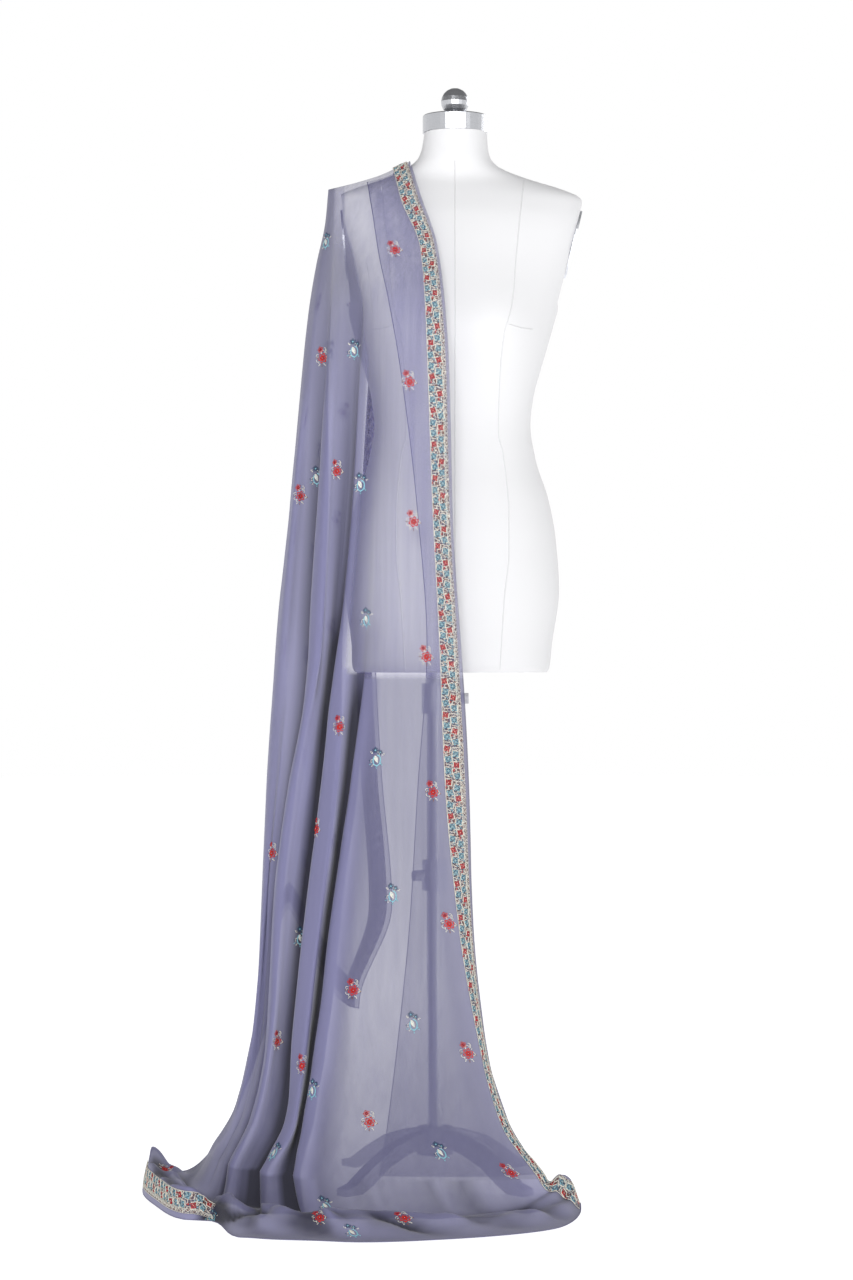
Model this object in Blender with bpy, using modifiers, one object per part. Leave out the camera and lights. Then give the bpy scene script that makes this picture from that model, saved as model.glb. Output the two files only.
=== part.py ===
"""A dupatta stole on a limbless dress form with its stand. Metres, +Z up.

The stole hangs over one shoulder of the form. Its front fall reaches the floor and trails there,
its back fall ends above the floor, and the front edge is turned under along an embroidered border.
Everything is modelled round the stand's pole, and one empty places it on the part's own origin.
The camera side is -Y. A "level" is a height measured as if the shoulder ridge were flat.
"""

import math

import bmesh
import bpy
import numpy as np
from mathutils import Matrix

# The stand's pole, from the middle of the whole footprint, where the part's origin is.
POLE_X = 0.1070
POLE_Y = 0.1650

# Cloth and gaps
CLOTH_THICKNESS = 0.002
BORDER_THICKNESS = 0.001
TOUCH_GAP = 0.0003
BORDER_WIDTH = 0.031
BORDER_GAP = 0.0005
BORDER_LIFT = CLOTH_THICKNESS / 2 + BORDER_GAP + BORDER_THICKNESS / 2
SEAM_LEVEL_GAP = 0.0003
TRAIL_SEAM_GAP = 0.0006
SEAM_FOLD_GAP = 0.016
# The line number between two folds where the arm side's own piece of cloth begins.
SIDE_SEAM = 8.5

# The dress form's middle line, which the cloth's sections go round, and how square they are.
FORM_X = 0.0255
SECTION_POWER = 2.4

# The shoulder ridge that the cloth lies on, from the neck to the shoulder's tip: x and height.
RIDGE = ((-0.038, 1.5278), (-0.063, 1.5158), (-0.078, 1.5085), (-0.117, 1.4963), (-0.160, 1.4855))
RIDGE_LEVEL = 1.505
RIDGE_ENDS_LEVEL = 1.30
SHOULDER_LEVEL = 1.40
FLOOR_LEVEL = 0.05

# The front fall's upright lines in millimetres from the pole, one row per level.
# turned: inner edge of the turned-under cloth. border and edge: the border's two sides.
# fold_2, fold_1, fold_0: the creases of the three long folds. side: the outline on the arm side.
# back_edge: the long edge of the back fall. pleat: how deep the folds are there.
FALL = (
    # level, turned, border, edge, fold_2, fold_1, fold_0, side, back_edge, pleat
    (1.505, -102, -63, -38, -108, -134, -150, -160, -38, 0),
    (1.450, -93, -50, -22, -105, -133, -151, -165, -50, 1),
    (1.380, -83, -22, 3, -97, -127, -153, -178, -60, 3),
    (1.300, -67, -15, 14, -90, -120, -157, -190, -70, 5),
    (1.200, -50, -11, 21, -86, -115, -160, -201, -80, 7),
    (1.000, -26, -4, 26, -92, -126, -169, -219, -90, 10),
    (0.800, -12, 6, 38, -103, -144, -182, -239, -92, 13),
    (0.600, -25, 14, 49, -121, -158, -210, -250, -82, 15),
    (0.400, -37, 33, 56, -148, -181, -236, -259, -66, 17),
    (0.250, -52, 58, 70, -166, -199, -246, -268, -116, 18),
    (0.120, -68, 94, 105, -186, -215, -268, -297, -122, 20),
    (0.050, -79, 145, 155, -202, -250, -300, -334, -122, 18),
)

# How far the cloth stands before and behind the pole, in millimetres, one row per level.
DEPTH = (
    # level, front, back
    (1.505, 0, 0),
    (1.503, 16, 16),
    (1.498, 30, 30),
    (1.490, 43, 44),
    (1.475, 62, 64),
    (1.450, 83, 85),
    (1.380, 122, 108),
    (1.300, 158, 115),
    (1.200, 162, 115),
    (1.000, 160, 122),
    (0.800, 162, 133),
    (0.600, 170, 145),
    (0.400, 185, 152),
    (0.250, 210, 156),
    (0.120, 250, 160),
    (0.050, 280, 165),
)

# The back fall's lines, from the arm side to its long edge. across: the share of the way there.
# out: how far the flute stands out, against the pleat depth. ends: the level of the cloth's hem.
BACK_LINES = (
    # across, out, ends, columns to the next line
    (0.02, 0.0, 0.050, 4),
    (0.08, -0.5, 0.200, 4),
    (0.18, 0.6, 0.400, 4),
    (0.32, -0.7, 0.360, 4),
    (0.46, 0.6, 0.318, 4),
    (0.60, -0.6, 0.288, 4),
    (0.74, 0.6, 0.262, 4),
    (0.88, -0.3, 0.246, 4),
    (1.00, 0.0, 0.240, 0),
)

# Where each line of the front fall ends on the floor, in millimetres from the pole, and how high
# the cloth rolls up on its way there. The lines go from the border to the arm side.
TRAIL = (
    # line, end_x, end_y, roll
    ("edge", 206, -215, 4),
    ("border_outer", 207, -224, 5),
    ("border", 206, -254, 8),
    ("panel_right", 172, -375, 20),
    ("panel_left", 20, -458, 16),
    ("crest_2", -100, -480, 24),
    ("fold_2", -158, -470, 10),
    ("crest_1", -212, -462, 26),
    ("fold_1", -268, -445, 12),
    ("crest_0", -312, -330, 24),
    ("fold_0", -352, -318, 12),
    ("flank", -398, -220, 26),
    ("side", -428, -110, 22),
    ("behind", -436, 5, 8),
)
FRONT_COLUMNS = (1, 2, 3, 3, 3, 3, 3, 3, 3, 2, 2, 2, 2)
CREST_OFFSET = 14
CREASE_DEPTH = 0.6
FOOT_LENGTH = 0.055
LAID_HEIGHT = 0.00125
TURNED_STOPS_SHORT = 0.008

SHOULDER_ROWS = (1.503, 1.499, 1.491, 1.476, 1.454, 1.428, 1.400)
FALL_ROWS = 20
TRAIL_ROWS = 12

# The dress form's torso, one row per height: middle, half width, front and back depth (mm).
TORSO = (
    # height, middle, half_width, front, back
    (0.762, 24, 144, 98, 103),
    (0.770, 24, 148, 102, 107),
    (0.800, 25, 150, 105, 112),
    (0.885, 26, 160, 108, 122),
    (0.960, 26, 155, 105, 112),
    (1.020, 26, 144, 98, 98),
    (1.080, 26, 125, 88, 85),
    (1.132, 26, 117, 84, 78),
    (1.170, 26, 121, 90, 80),
    (1.230, 26, 137, 102, 86),
    (1.275, 26, 150, 108, 90),
    (1.320, 28, 161, 104, 94),
    (1.380, 31, 176, 92, 92),
    (1.440, 34, 188, 75, 82),
    (1.470, 34, 186, 60, 66),
    (1.484, 33, 160, 52, 56),
    (1.494, 32, 128, 46, 50),
    (1.505, 30, 96, 43, 48),
    (1.518, 28, 68, 45, 49),
    (1.532, 29, 54, 47, 49),
    (1.550, 30, 49, 47, 48),
    (1.5697, 31, 47, 47, 47),
)
TORSO_POWER = 2.15
TORSO_POINTS = 36
TORSO_STEP = 0.028
BUST = {"height": 1.275, "across": 0.078, "radius": 0.062, "out": 0.022}

# Arm plates: the slanted cuts at the shoulders and the oval plates that cover them.
ARM_CUT_X = {"left": -0.1350, "right": 0.2080}
ARM_HEIGHT = 1.415
ARM_LEAN = {"left": math.radians(5.0), "right": math.radians(14.0)}
ARM_PLATE_HIGH = 0.052
ARM_PLATE_DEEP = 0.036
ARM_PLATE_THICKNESS = 0.003

# Neck cap and finial
NECK_X = 0.0300
CAP_RADIUS = 0.0485
CAP_BOTTOM = 1.570
CAP_TOP = 1.596
BALL_RADIUS = 0.021
BALL_HEIGHT = 1.6165

# Stand
POLE_RADIUS = 0.0125
POLE_BOTTOM = 0.0800
UPPER_COLLAR = {"bottom": 0.700, "top": 0.745, "radius": 0.020, "knob_turn": 0.0, "knob_reach": 0.030}
LOWER_COLLAR = {"bottom": 0.435, "top": 0.480, "radius": 0.019, "knob_turn": 205.0, "knob_reach": 0.016}
KNOB_RADIUS = 0.008
HUB_RADIUS = 0.027
HUB_BOTTOM = 0.040
LEG_COUNT = 4
LEG_HALF_WIDTH = 0.011
# One leg's side outline: distance from the pole and height.
LEG_OUTLINE = (
    (0.0274, 0.076), (0.060, 0.071), (0.100, 0.058), (0.140, 0.036), (0.172, 0.015), (0.192, 0.010),
    (0.192, 0.000), (0.160, 0.000), (0.138, 0.011), (0.104, 0.033), (0.064, 0.048), (0.0274, 0.054),
)

MATERIALS = {
    # name: colour, roughness, metallic
    "cloth": ((0.27, 0.27, 0.37), 0.75, 0.0),
    "border": ((0.45, 0.30, 0.25), 0.70, 0.0),
    "form": ((0.86, 0.86, 0.87), 0.80, 0.0),
    "steel": ((0.55, 0.54, 0.52), 0.30, 1.0),
    "stand": ((0.42, 0.42, 0.45), 0.45, 0.0),
}


def clear_scene():
    for old in list(bpy.data.objects):
        bpy.data.objects.remove(old, do_unlink=True)


def material(name):
    found = bpy.data.materials.get(name)
    if found:
        return found
    colour, roughness, metallic = MATERIALS[name]
    made = bpy.data.materials.new(name)
    made.use_nodes = True
    shader = made.node_tree.nodes["Principled BSDF"]
    shader.inputs["Base Color"].default_value = (*colour, 1.0)
    shader.inputs["Roughness"].default_value = roughness
    shader.inputs["Metallic"].default_value = metallic
    return made


class Stage:
    """The collection and the empty that every piece goes under."""

    def __init__(self):
        self.parts = bpy.data.collections.new("dupatta_stole")
        self.cutters = bpy.data.collections.new("cutters")
        bpy.context.scene.collection.children.link(self.parts)
        bpy.context.scene.collection.children.link(self.cutters)
        self.pole = bpy.data.objects.new("pole_axis", None)
        self.pole.location = (POLE_X, POLE_Y, 0.0)
        self.parts.objects.link(self.pole)

    def add(self, name, data, look, cutter=False):
        made = bpy.data.objects.new(name, data)
        (self.cutters if cutter else self.parts).objects.link(made)
        made.parent = self.pole
        made.data.materials.append(material(look))
        return made


# Curves through tables


def slopes_of(at, values):
    """Slopes that keep a cubic through the points from overshooting them."""
    steps = np.diff(at)
    rises = np.diff(values) / steps
    slopes = np.zeros(len(at))
    slopes[0], slopes[-1] = rises[0], rises[-1]
    for i in range(1, len(at) - 1):
        before, after = rises[i - 1], rises[i]
        if before * after > 0:
            slopes[i] = 2 * before * after / (before + after)
    return slopes


def through(at, values, wanted):
    """A smooth curve through (at, values), read at the wanted places."""
    at, values = np.asarray(at, float), np.asarray(values, float)
    order = np.argsort(at)
    at, values = at[order], values[order]
    slopes = slopes_of(at, values)
    wanted = np.clip(np.asarray(wanted, float), at[0], at[-1])
    i = np.clip(np.searchsorted(at, wanted) - 1, 0, len(at) - 2)
    step = at[i + 1] - at[i]
    t = (wanted - at[i]) / step
    return (
        (2 * t**3 - 3 * t**2 + 1) * values[i]
        + (t**3 - 2 * t**2 + t) * step * slopes[i]
        + (3 * t**2 - 2 * t**3) * values[i + 1]
        + (t**3 - t**2) * step * slopes[i + 1]
    )


def across_lines(points, wanted):
    """A smooth curve through a run of points, one per line of the cloth, read at line numbers."""
    points = np.asarray(points, float)
    lengths = np.linalg.norm(np.diff(points, axis=0), axis=1)
    at = np.concatenate([[0.0], np.cumsum(lengths)])
    along = np.interp(wanted, range(len(points)), at)
    return np.stack([through(at, values, along) for values in points.T], axis=-1)


FALL_NAMES = ("turned", "border", "edge", "fold_2", "fold_1", "fold_0", "side", "back_edge", "pleat")


def fall(name, level):
    column = FALL_NAMES.index(name) + 1
    return through([row[0] for row in FALL], [row[column] / 1000 for row in FALL], level)


def depth(side, level):
    column = {"front": 1, "back": 2}[side]
    return through([row[0] for row in DEPTH], [row[column] / 1000 for row in DEPTH], level)


# The cloth's surface


def section_depth(side, x, level):
    """How far the rounded section stands from the middle plane at x."""
    reach = FORM_X - fall("side", level)
    share = np.clip(np.abs(x - FORM_X) / reach, 0, 1)
    return depth(side, level) * (1 - share**SECTION_POWER) ** (1 / SECTION_POWER)


def ridge_height(x):
    return through([p[0] for p in RIDGE], [p[1] for p in RIDGE], x)


def height_of(x_at_ridge, level):
    """The real height of a level: below the shoulder the two are the same."""
    fade = np.clip((level - RIDGE_ENDS_LEVEL) / (RIDGE_LEVEL - RIDGE_ENDS_LEVEL), 0, 1)
    return level + (ridge_height(x_at_ridge) - RIDGE_LEVEL) * fade**2 * (3 - 2 * fade)


def turned_back(level):
    """How far the border turns towards the back, so that it keeps its width where it looks narrow."""
    seen = fall("edge", level) - fall("border", level)
    hidden = np.sqrt(np.clip(BORDER_WIDTH**2 - seen**2, 0, None))
    return hidden * np.clip((0.75 - level) / 0.2, 0, 1)


def front_line(name, level):
    """x and y of one upright line of the front fall."""
    edge, border = fall("edge", level), fall("border", level)
    crest = CREST_OFFSET / 1000 * np.clip((RIDGE_LEVEL - level) / 0.1, 0.5, 1)
    second, first, outer, side = (fall(n, level) for n in ("fold_2", "fold_1", "fold_0", "side"))
    pleat = fall("pleat", level) * CREASE_DEPTH
    x, out = {
        "edge": (edge, -0.004 * np.ones_like(level) - turned_back(level)),
        "border_outer": (edge - 0.16 * (edge - border), -0.82 * turned_back(level)),
        "border": (border, 0 * level),
        "panel_right": (border + (second + crest - border) * 0.36, -0.3 * pleat),
        "panel_left": (border + (second + crest - border) * 0.70, 0.1 * pleat),
        "crest_2": (second + crest, 0.9 * pleat),
        "fold_2": (second, -0.9 * pleat),
        "crest_1": (first + crest, 1.0 * pleat),
        "fold_1": (first, -1.0 * pleat),
        "crest_0": (outer + crest, 0.9 * pleat),
        "fold_0": (outer, -0.7 * pleat),
        "flank": ((outer + 2 * side) / 3, 0.5 * pleat),
        "side": (side, 0 * level),
    }[name]
    out = out * np.clip((RIDGE_LEVEL - level) / 0.02, 0, 1)
    return x, -section_depth("front", x, level) - out


def back_line(row, level):
    """x and y of one upright line of the back fall."""
    across, out = row[:2]
    side, edge = fall("side", level), fall("back_edge", level)
    x = side + (edge - side) * across
    return x, section_depth("back", x, level) + out * fall("pleat", level) * 0.8


FRONT_NAMES = [row[0] for row in TRAIL[:-1]]
BEHIND = len(FRONT_NAMES)
LAST_LINE = BEHIND + len(BACK_LINES) - 1


def line_point(number, level):
    """A point of line `number` of the cloth at a level, or one for each level."""
    level = np.asarray(level, float)
    if number < BEHIND:
        x, y = front_line(FRONT_NAMES[number], level)
        top, _ = front_line(FRONT_NAMES[number], np.array(RIDGE_LEVEL))
    else:
        row = BACK_LINES[number - BEHIND]
        x, y = back_line(row, level)
        top, _ = back_line(row, np.array(RIDGE_LEVEL))
    return np.stack([x, y, height_of(top, level)], axis=-1)


def sheet_points(places, levels):
    """The cloth's mid-surface: rows of points, at line numbers `places`, at levels[row][line]."""
    rows = []
    for row in np.asarray(levels, float):
        lines = [line_point(n, row[n]) for n in range(LAST_LINE + 1)]
        rows.append(across_lines(lines, places))
    return np.array(rows)


def even_levels(level):
    return [level] * (LAST_LINE + 1)


def falling_levels(share):
    """From the shoulder seam (share 0) to the floor or to the hem (share 1)."""
    top = SHOULDER_LEVEL - SEAM_LEVEL_GAP
    ends = [FLOOR_LEVEL] * BEHIND + [row[2] for row in BACK_LINES]
    return [top + (end - top) * share for end in ends]


def places_of(first, columns):
    found = [float(first)]
    for count in columns:
        found += [math.floor(found[-1] + 1e-9) + (i + 1) / count for i in range(count)]
    return np.array(found)


FRONT_PLACES = places_of(0, FRONT_COLUMNS)
BACK_PLACES = places_of(BEHIND, [row[3] for row in BACK_LINES[:-1]])


def normals_of(grid):
    """Outward unit normals of a grid of points that runs down and then round towards the back."""
    down = np.gradient(grid, axis=0)
    along = np.gradient(grid, axis=1)
    found = np.cross(along, down)
    return found / np.linalg.norm(found, axis=2, keepdims=True)


def front_grid():
    places = np.append(FRONT_PLACES[FRONT_PLACES < SIDE_SEAM], SIDE_SEAM - SEAM_FOLD_GAP)
    shares = np.linspace(0, 1, FALL_ROWS + 1)
    return sheet_points(places, [falling_levels(s) for s in shares])


def side_grid():
    places = np.append(SIDE_SEAM + SEAM_FOLD_GAP, FRONT_PLACES[FRONT_PLACES > SIDE_SEAM])
    places[-1] -= SEAM_FOLD_GAP
    shares = np.linspace(0, 1, FALL_ROWS + 1)
    return sheet_points(places, [falling_levels(s) for s in shares])


def back_grid():
    places = BACK_PLACES.copy()
    places[0] += SEAM_FOLD_GAP
    shares = np.linspace(0, 1, FALL_ROWS + 1)
    return sheet_points(places, [falling_levels(s) for s in shares])


def shoulder_grid():
    places = np.concatenate([FRONT_PLACES, BACK_PLACES[1:]])
    levels = list(SHOULDER_ROWS)
    levels[-1] += SEAM_LEVEL_GAP
    return sheet_points(places, [even_levels(level) for level in levels])


def trail_grid():
    """From the foot of the front fall, down onto the floor and out to the end of the stole."""
    places = FRONT_PLACES.copy()
    start = sheet_points(places, [falling_levels(1.0)])[0]
    ends = across_lines([(row[1] / 1000, row[2] / 1000, 0.0) for row in TRAIL], places)
    rolls = through(range(len(TRAIL)), [row[3] / 1000 for row in TRAIL], places)
    lengths = np.linalg.norm((ends - start)[:, :2], axis=1)
    foot = np.clip(FOOT_LENGTH / lengths, 0, 0.8)
    rows = []
    for share in np.linspace(0, 1, TRAIL_ROWS + 1):
        reach = np.maximum(share, TRAIL_SEAM_GAP / lengths)
        row = start + (ends - start) * reach[:, None]
        drop = (1 - np.minimum(reach / foot, 1)) ** 2
        rise = np.sin(math.pi * np.clip((reach - 0.15) / 0.85, 0, 1)) ** 2
        wave = 0.35 * np.sin(2.6 * math.pi * reach) ** 2
        row[:, 2] = LAID_HEIGHT + (start[:, 2] - LAID_HEIGHT) * drop + rolls * rise * (0.65 + wave)
        rows.append(row)
    return np.array(rows)


def turned_grid():
    """The turned-under layer behind the front edge, from its fold to its free hem."""
    rows = []
    levels = [falling_levels(share)[0] for share in np.linspace(0, 1, FALL_ROWS + 1)]
    levels[-1] += TURNED_STOPS_SHORT
    for level in levels:
        edge = line_point(0, level)
        inner = float(fall("turned", level))
        xs = edge[0] - 0.0022 - (edge[0] - 0.0022 - inner) * np.linspace(0, 1, 9) ** 1.15
        reach = np.clip(np.linspace(0, 1, 9) / 0.25, 0, 1)
        back = float(turned_back(level))
        under = 0.0062 + 0.0035 * np.sin(reach * math.pi / 2)
        y = -section_depth("front", xs, level) + under + back * (1 - reach * 0.55)
        rows.append(np.stack([xs, y, np.full(9, level)], axis=-1))
    return np.array(rows)


# Objects


def grid_mesh(name, grid, bridged=False):
    """A mesh of a grid of points, split the same way in every piece, so that layers lie parallel.

    A bridged grid's first row is closed across, over the ridge.
    """
    high, wide = grid.shape[:2]
    made = bmesh.new()
    points = [[made.verts.new(p) for p in row] for row in grid]
    for r in range(high - 1):
        for c in range(wide - 1):
            near, far = points[r][c], points[r + 1][c + 1]
            made.faces.new((near, points[r + 1][c], far))
            made.faces.new((near, far, points[r][c + 1]))
    if bridged:
        top = points[0]
        for c in range(wide // 2):
            corners = [top[c], top[c + 1], top[wide - 2 - c], top[wide - 1 - c]]
            corners = [v for i, v in enumerate(corners) if v not in corners[:i]]
            made.faces.new(corners)
    mesh = bpy.data.meshes.new(name)
    made.to_mesh(mesh)
    made.free()
    mesh.shade_smooth()
    return mesh


def add_sheet(stage, name, grid, look="cloth", thickness=CLOTH_THICKNESS, bridged=False):
    made = stage.add(name, grid_mesh(name, grid, bridged), look)
    wall = made.modifiers.new("wall", "SOLIDIFY")
    wall.thickness = thickness
    wall.offset = 0.0
    wall.use_even_offset = False
    return made


def add_border(stage, name, grid, rows, columns):
    """A strip of border on part of a grid, moved out from the cloth's own points."""
    lifted = grid + normals_of(grid) * BORDER_LIFT
    add_sheet(stage, name, lifted[rows, columns], "border", BORDER_THICKNESS)


def add_cloth(stage):
    shoulder, front, back, trail = shoulder_grid(), front_grid(), back_grid(), trail_grid()
    add_sheet(stage, "cloth_shoulder", shoulder, bridged=True)
    add_sheet(stage, "cloth_front_fall", front)
    add_sheet(stage, "cloth_side_fall", side_grid())
    add_sheet(stage, "cloth_back_fall", back)
    add_sheet(stage, "cloth_floor_trail", trail)
    add_sheet(stage, "cloth_turned_edge", turned_grid())
    border = slice(1, 4)
    back_border = slice(-7, -1)
    add_border(stage, "border_shoulder_front", shoulder, slice(2, None), border)
    add_border(stage, "border_front", front, slice(0, None), border)
    add_border(stage, "border_floor_right", trail, slice(2, -1), border)
    add_border(stage, "border_shoulder_back", shoulder, slice(2, None), back_border)
    add_border(stage, "border_back", back, slice(0, -3), back_border)
    add_border(stage, "border_back_end", back, slice(-3, -1), slice(10, -1))
    add_border(stage, "border_floor_left", trail, slice(-4, -1), slice(-8, -1))


def superellipse(angle, power):
    x, y = math.sin(angle), -math.cos(angle)
    return (math.copysign(abs(x) ** (2 / power), x), math.copysign(abs(y) ** (2 / power), y))


def torso_ring(height):
    columns = [through([r[0] for r in TORSO], [r[i] / 1000 for r in TORSO], height) for i in range(1, 5)]
    middle, half_width, front, back = (float(value) for value in columns)
    ring = []
    for i in range(TORSO_POINTS):
        across, fore = superellipse(2 * math.pi * i / TORSO_POINTS, TORSO_POWER)
        x = middle + half_width * across
        y = (front if fore < 0 else back) * fore
        if fore < 0:
            y -= bust_swell(x - middle, height) * -fore
        ring.append((x, y, height))
    return ring


def bust_swell(across, height):
    """How far the bust stands out from the torso's section."""
    swell = 0.0
    for side in (-1, 1):
        away = math.hypot(across - side * BUST["across"], height - BUST["height"]) / BUST["radius"]
        swell += BUST["out"] * math.exp(-(away**2))
    return swell


def loft(name, rings):
    made = bmesh.new()
    rows = [[made.verts.new(p) for p in ring] for ring in rings]
    count = len(rows[0])
    for lower, upper in zip(rows, rows[1:]):
        for i in range(count):
            j = (i + 1) % count
            made.faces.new((lower[i], lower[j], upper[j], upper[i]))
    made.faces.new(list(reversed(rows[0])))
    made.faces.new(rows[-1])
    bmesh.ops.recalc_face_normals(made, faces=made.faces[:])
    mesh = bpy.data.meshes.new(name)
    made.to_mesh(mesh)
    made.free()
    mesh.shade_smooth()
    mesh.set_sharp_from_angle(angle=math.radians(40))
    return mesh


def torso_heights():
    heights = [row[0] for row in TORSO]
    filled = [heights[0]]
    for height in heights[1:]:
        steps = max(1, round((height - filled[-1]) / TORSO_STEP))
        filled += [filled[-1] + (height - filled[-1]) * (i + 1) / steps for i in range(steps)]
    return filled


def arm_face(side):
    """Where a shoulder is cut off, and how the cut leans: away from the neck at the top."""
    sign = {"left": -1, "right": 1}[side]
    return (ARM_CUT_X[side], 0.0, ARM_HEIGHT), sign


def add_arm_cutter(stage, side, torso):
    place, sign = arm_face(side)
    box = bmesh.new()
    bmesh.ops.create_cube(box, size=0.3)
    bmesh.ops.translate(box, verts=box.verts[:], vec=(0.15 * sign, 0.0, 0.0))
    mesh = bpy.data.meshes.new(f"arm_cutter_{side}")
    box.to_mesh(mesh)
    box.free()
    cutter = stage.add(f"arm_cutter_{side}", mesh, "form", cutter=True)
    cutter.location = place
    cutter.rotation_euler = (0.0, ARM_LEAN[side] * sign, 0.0)
    cutter.hide_render = True
    cutter.display_type = "WIRE"
    cut = torso.modifiers.new(f"arm_{side}", "BOOLEAN")
    cut.operation = "DIFFERENCE"
    cut.object = cutter


def add_arm_plate(stage, side):
    place, sign = arm_face(side)
    disc = bmesh.new()
    bmesh.ops.create_cone(
        disc, cap_ends=True, segments=32, radius1=1.0, radius2=1.0, depth=ARM_PLATE_THICKNESS
    )
    bmesh.ops.scale(disc, verts=disc.verts[:], vec=(ARM_PLATE_HIGH, ARM_PLATE_DEEP, 1.0))
    upright = Matrix.Rotation(math.pi / 2, 3, "Y")
    bmesh.ops.rotate(disc, verts=disc.verts[:], cent=(0.0, 0.0, 0.0), matrix=upright)
    away = (ARM_PLATE_THICKNESS / 2 + TOUCH_GAP) * sign
    bmesh.ops.translate(disc, verts=disc.verts[:], vec=(away, 0.0, -0.012))
    mesh = bpy.data.meshes.new(f"arm_plate_{side}")
    disc.to_mesh(mesh)
    disc.free()
    plate = stage.add(f"arm_plate_{side}", mesh, "steel")
    plate.location = place
    plate.rotation_euler = (0.0, ARM_LEAN[side] * sign, 0.0)


def add_form(stage):
    torso = stage.add("form_torso", loft("form_torso", [torso_ring(h) for h in torso_heights()]), "form")
    for side in ("left", "right"):
        add_arm_cutter(stage, side, torso)
        add_arm_plate(stage, side)


def add_turned(stage, name, profile, look, centre=(0.0, 0.0), steps=40):
    """A turned piece: radius and height pairs, from the top of the outer side to its bottom."""
    mesh = bpy.data.meshes.new(name)
    mesh.from_pydata([(r, 0.0, z) for r, z in profile], [(i, i + 1) for i in range(len(profile) - 1)], [])
    made = stage.add(name, mesh, look)
    made.location = (*centre, 0.0)
    turn = made.modifiers.new("turn", "SCREW")
    turn.steps = turn.render_steps = steps
    turn.use_merge_vertices = True
    turn.merge_threshold = 0.0001
    turn.use_smooth_shade = True
    return made


def add_ring(stage, name, bottom, top, inner, outer, look):
    ring = add_turned(
        stage, name, [(inner, top), (outer, top), (outer, bottom), (inner, bottom), (inner, top)], look
    )
    return ring


def add_neck_cap(stage):
    edge = 0.0015
    cap = [
        (0.0, CAP_TOP),
        (CAP_RADIUS - edge, CAP_TOP),
        (CAP_RADIUS, CAP_TOP - edge),
        (CAP_RADIUS, CAP_BOTTOM),
        (0.0, CAP_BOTTOM),
    ]
    add_turned(stage, "neck_cap", cap, "steel", (NECK_X, 0.0))
    stem = 0.008
    start = math.acos(stem / BALL_RADIUS)
    turns = [math.pi / 2 - i * (math.pi / 2 + start) / 9 for i in range(10)]
    ball = [(BALL_RADIUS * math.cos(a), BALL_HEIGHT + BALL_RADIUS * math.sin(a)) for a in turns]
    ball[0] = (0.0, BALL_HEIGHT + BALL_RADIUS)
    ball += [(stem, CAP_TOP + TOUCH_GAP), (0.0, CAP_TOP + TOUCH_GAP)]
    add_turned(stage, "finial_ball", ball, "steel", (NECK_X, 0.0), steps=24)


def add_cylinder(stage, name, radius, bottom, top, look):
    rod = bmesh.new()
    bmesh.ops.create_cone(rod, cap_ends=True, segments=32, radius1=radius, radius2=radius, depth=top - bottom)
    mesh = bpy.data.meshes.new(name)
    rod.to_mesh(mesh)
    rod.free()
    mesh.shade_smooth()
    mesh.set_sharp_from_angle(angle=math.radians(40))
    made = stage.add(name, mesh, look)
    made.location = (0.0, 0.0, (bottom + top) / 2)
    return made


def add_collar(stage, name, size):
    add_ring(stage, name, size["bottom"], size["top"], POLE_RADIUS + TOUCH_GAP, size["radius"], "stand")
    knob = add_cylinder(stage, f"{name}_knob", KNOB_RADIUS, 0.0, size["knob_reach"], "stand")
    turn = math.radians(size["knob_turn"])
    away = size["radius"] + TOUCH_GAP + size["knob_reach"] / 2
    knob.location = (away * math.cos(turn), away * math.sin(turn), (size["bottom"] + size["top"]) / 2)
    knob.rotation_euler = (0.0, math.pi / 2, turn)


def add_leg(stage, number):
    outline = bpy.data.curves.new(f"leg_{number}", "CURVE")
    outline.dimensions = "2D"
    outline.fill_mode = "BOTH"
    outline.extrude = LEG_HALF_WIDTH
    line = outline.splines.new("POLY")
    line.points.add(len(LEG_OUTLINE) - 1)
    for point, (away, height) in zip(line.points, LEG_OUTLINE):
        point.co = (away, height, 0.0, 1.0)
    line.use_cyclic_u = True
    leg = stage.add(f"leg_{number}", outline, "stand")
    turn = 2 * math.pi * (number - 0.5) / LEG_COUNT
    leg.rotation_euler = (math.pi / 2, 0.0, turn)


def add_stand(stage):
    add_cylinder(stage, "pole", POLE_RADIUS, POLE_BOTTOM + TOUCH_GAP, TORSO[0][0] - TOUCH_GAP, "stand")
    add_cylinder(stage, "base_hub", HUB_RADIUS, HUB_BOTTOM, POLE_BOTTOM, "stand")
    add_collar(stage, "upper_collar", UPPER_COLLAR)
    add_collar(stage, "lower_collar", LOWER_COLLAR)
    for number in range(1, LEG_COUNT + 1):
        add_leg(stage, number)


def main():
    clear_scene()
    stage = Stage()
    add_stand(stage)
    add_form(stage)
    add_neck_cap(stage)
    add_cloth(stage)


main()
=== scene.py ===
"""Dresses the dupatta stole, its dress form and its stand, and sets them in a pale studio.

Lengths are metres, apart from the tables and stitch patterns that say millimetres. Shapes are
worked out round the stand's pole, with the camera side at -Y, and moved to the frame's own place
when their meshes are made.
"""

import functools
import math

import bmesh
import bpy
import numpy as np
from bpy.props import FloatProperty, FloatVectorProperty, PointerProperty
from mathutils import Matrix, Vector, noise
from mathutils.bvhtree import BVHTree


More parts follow.
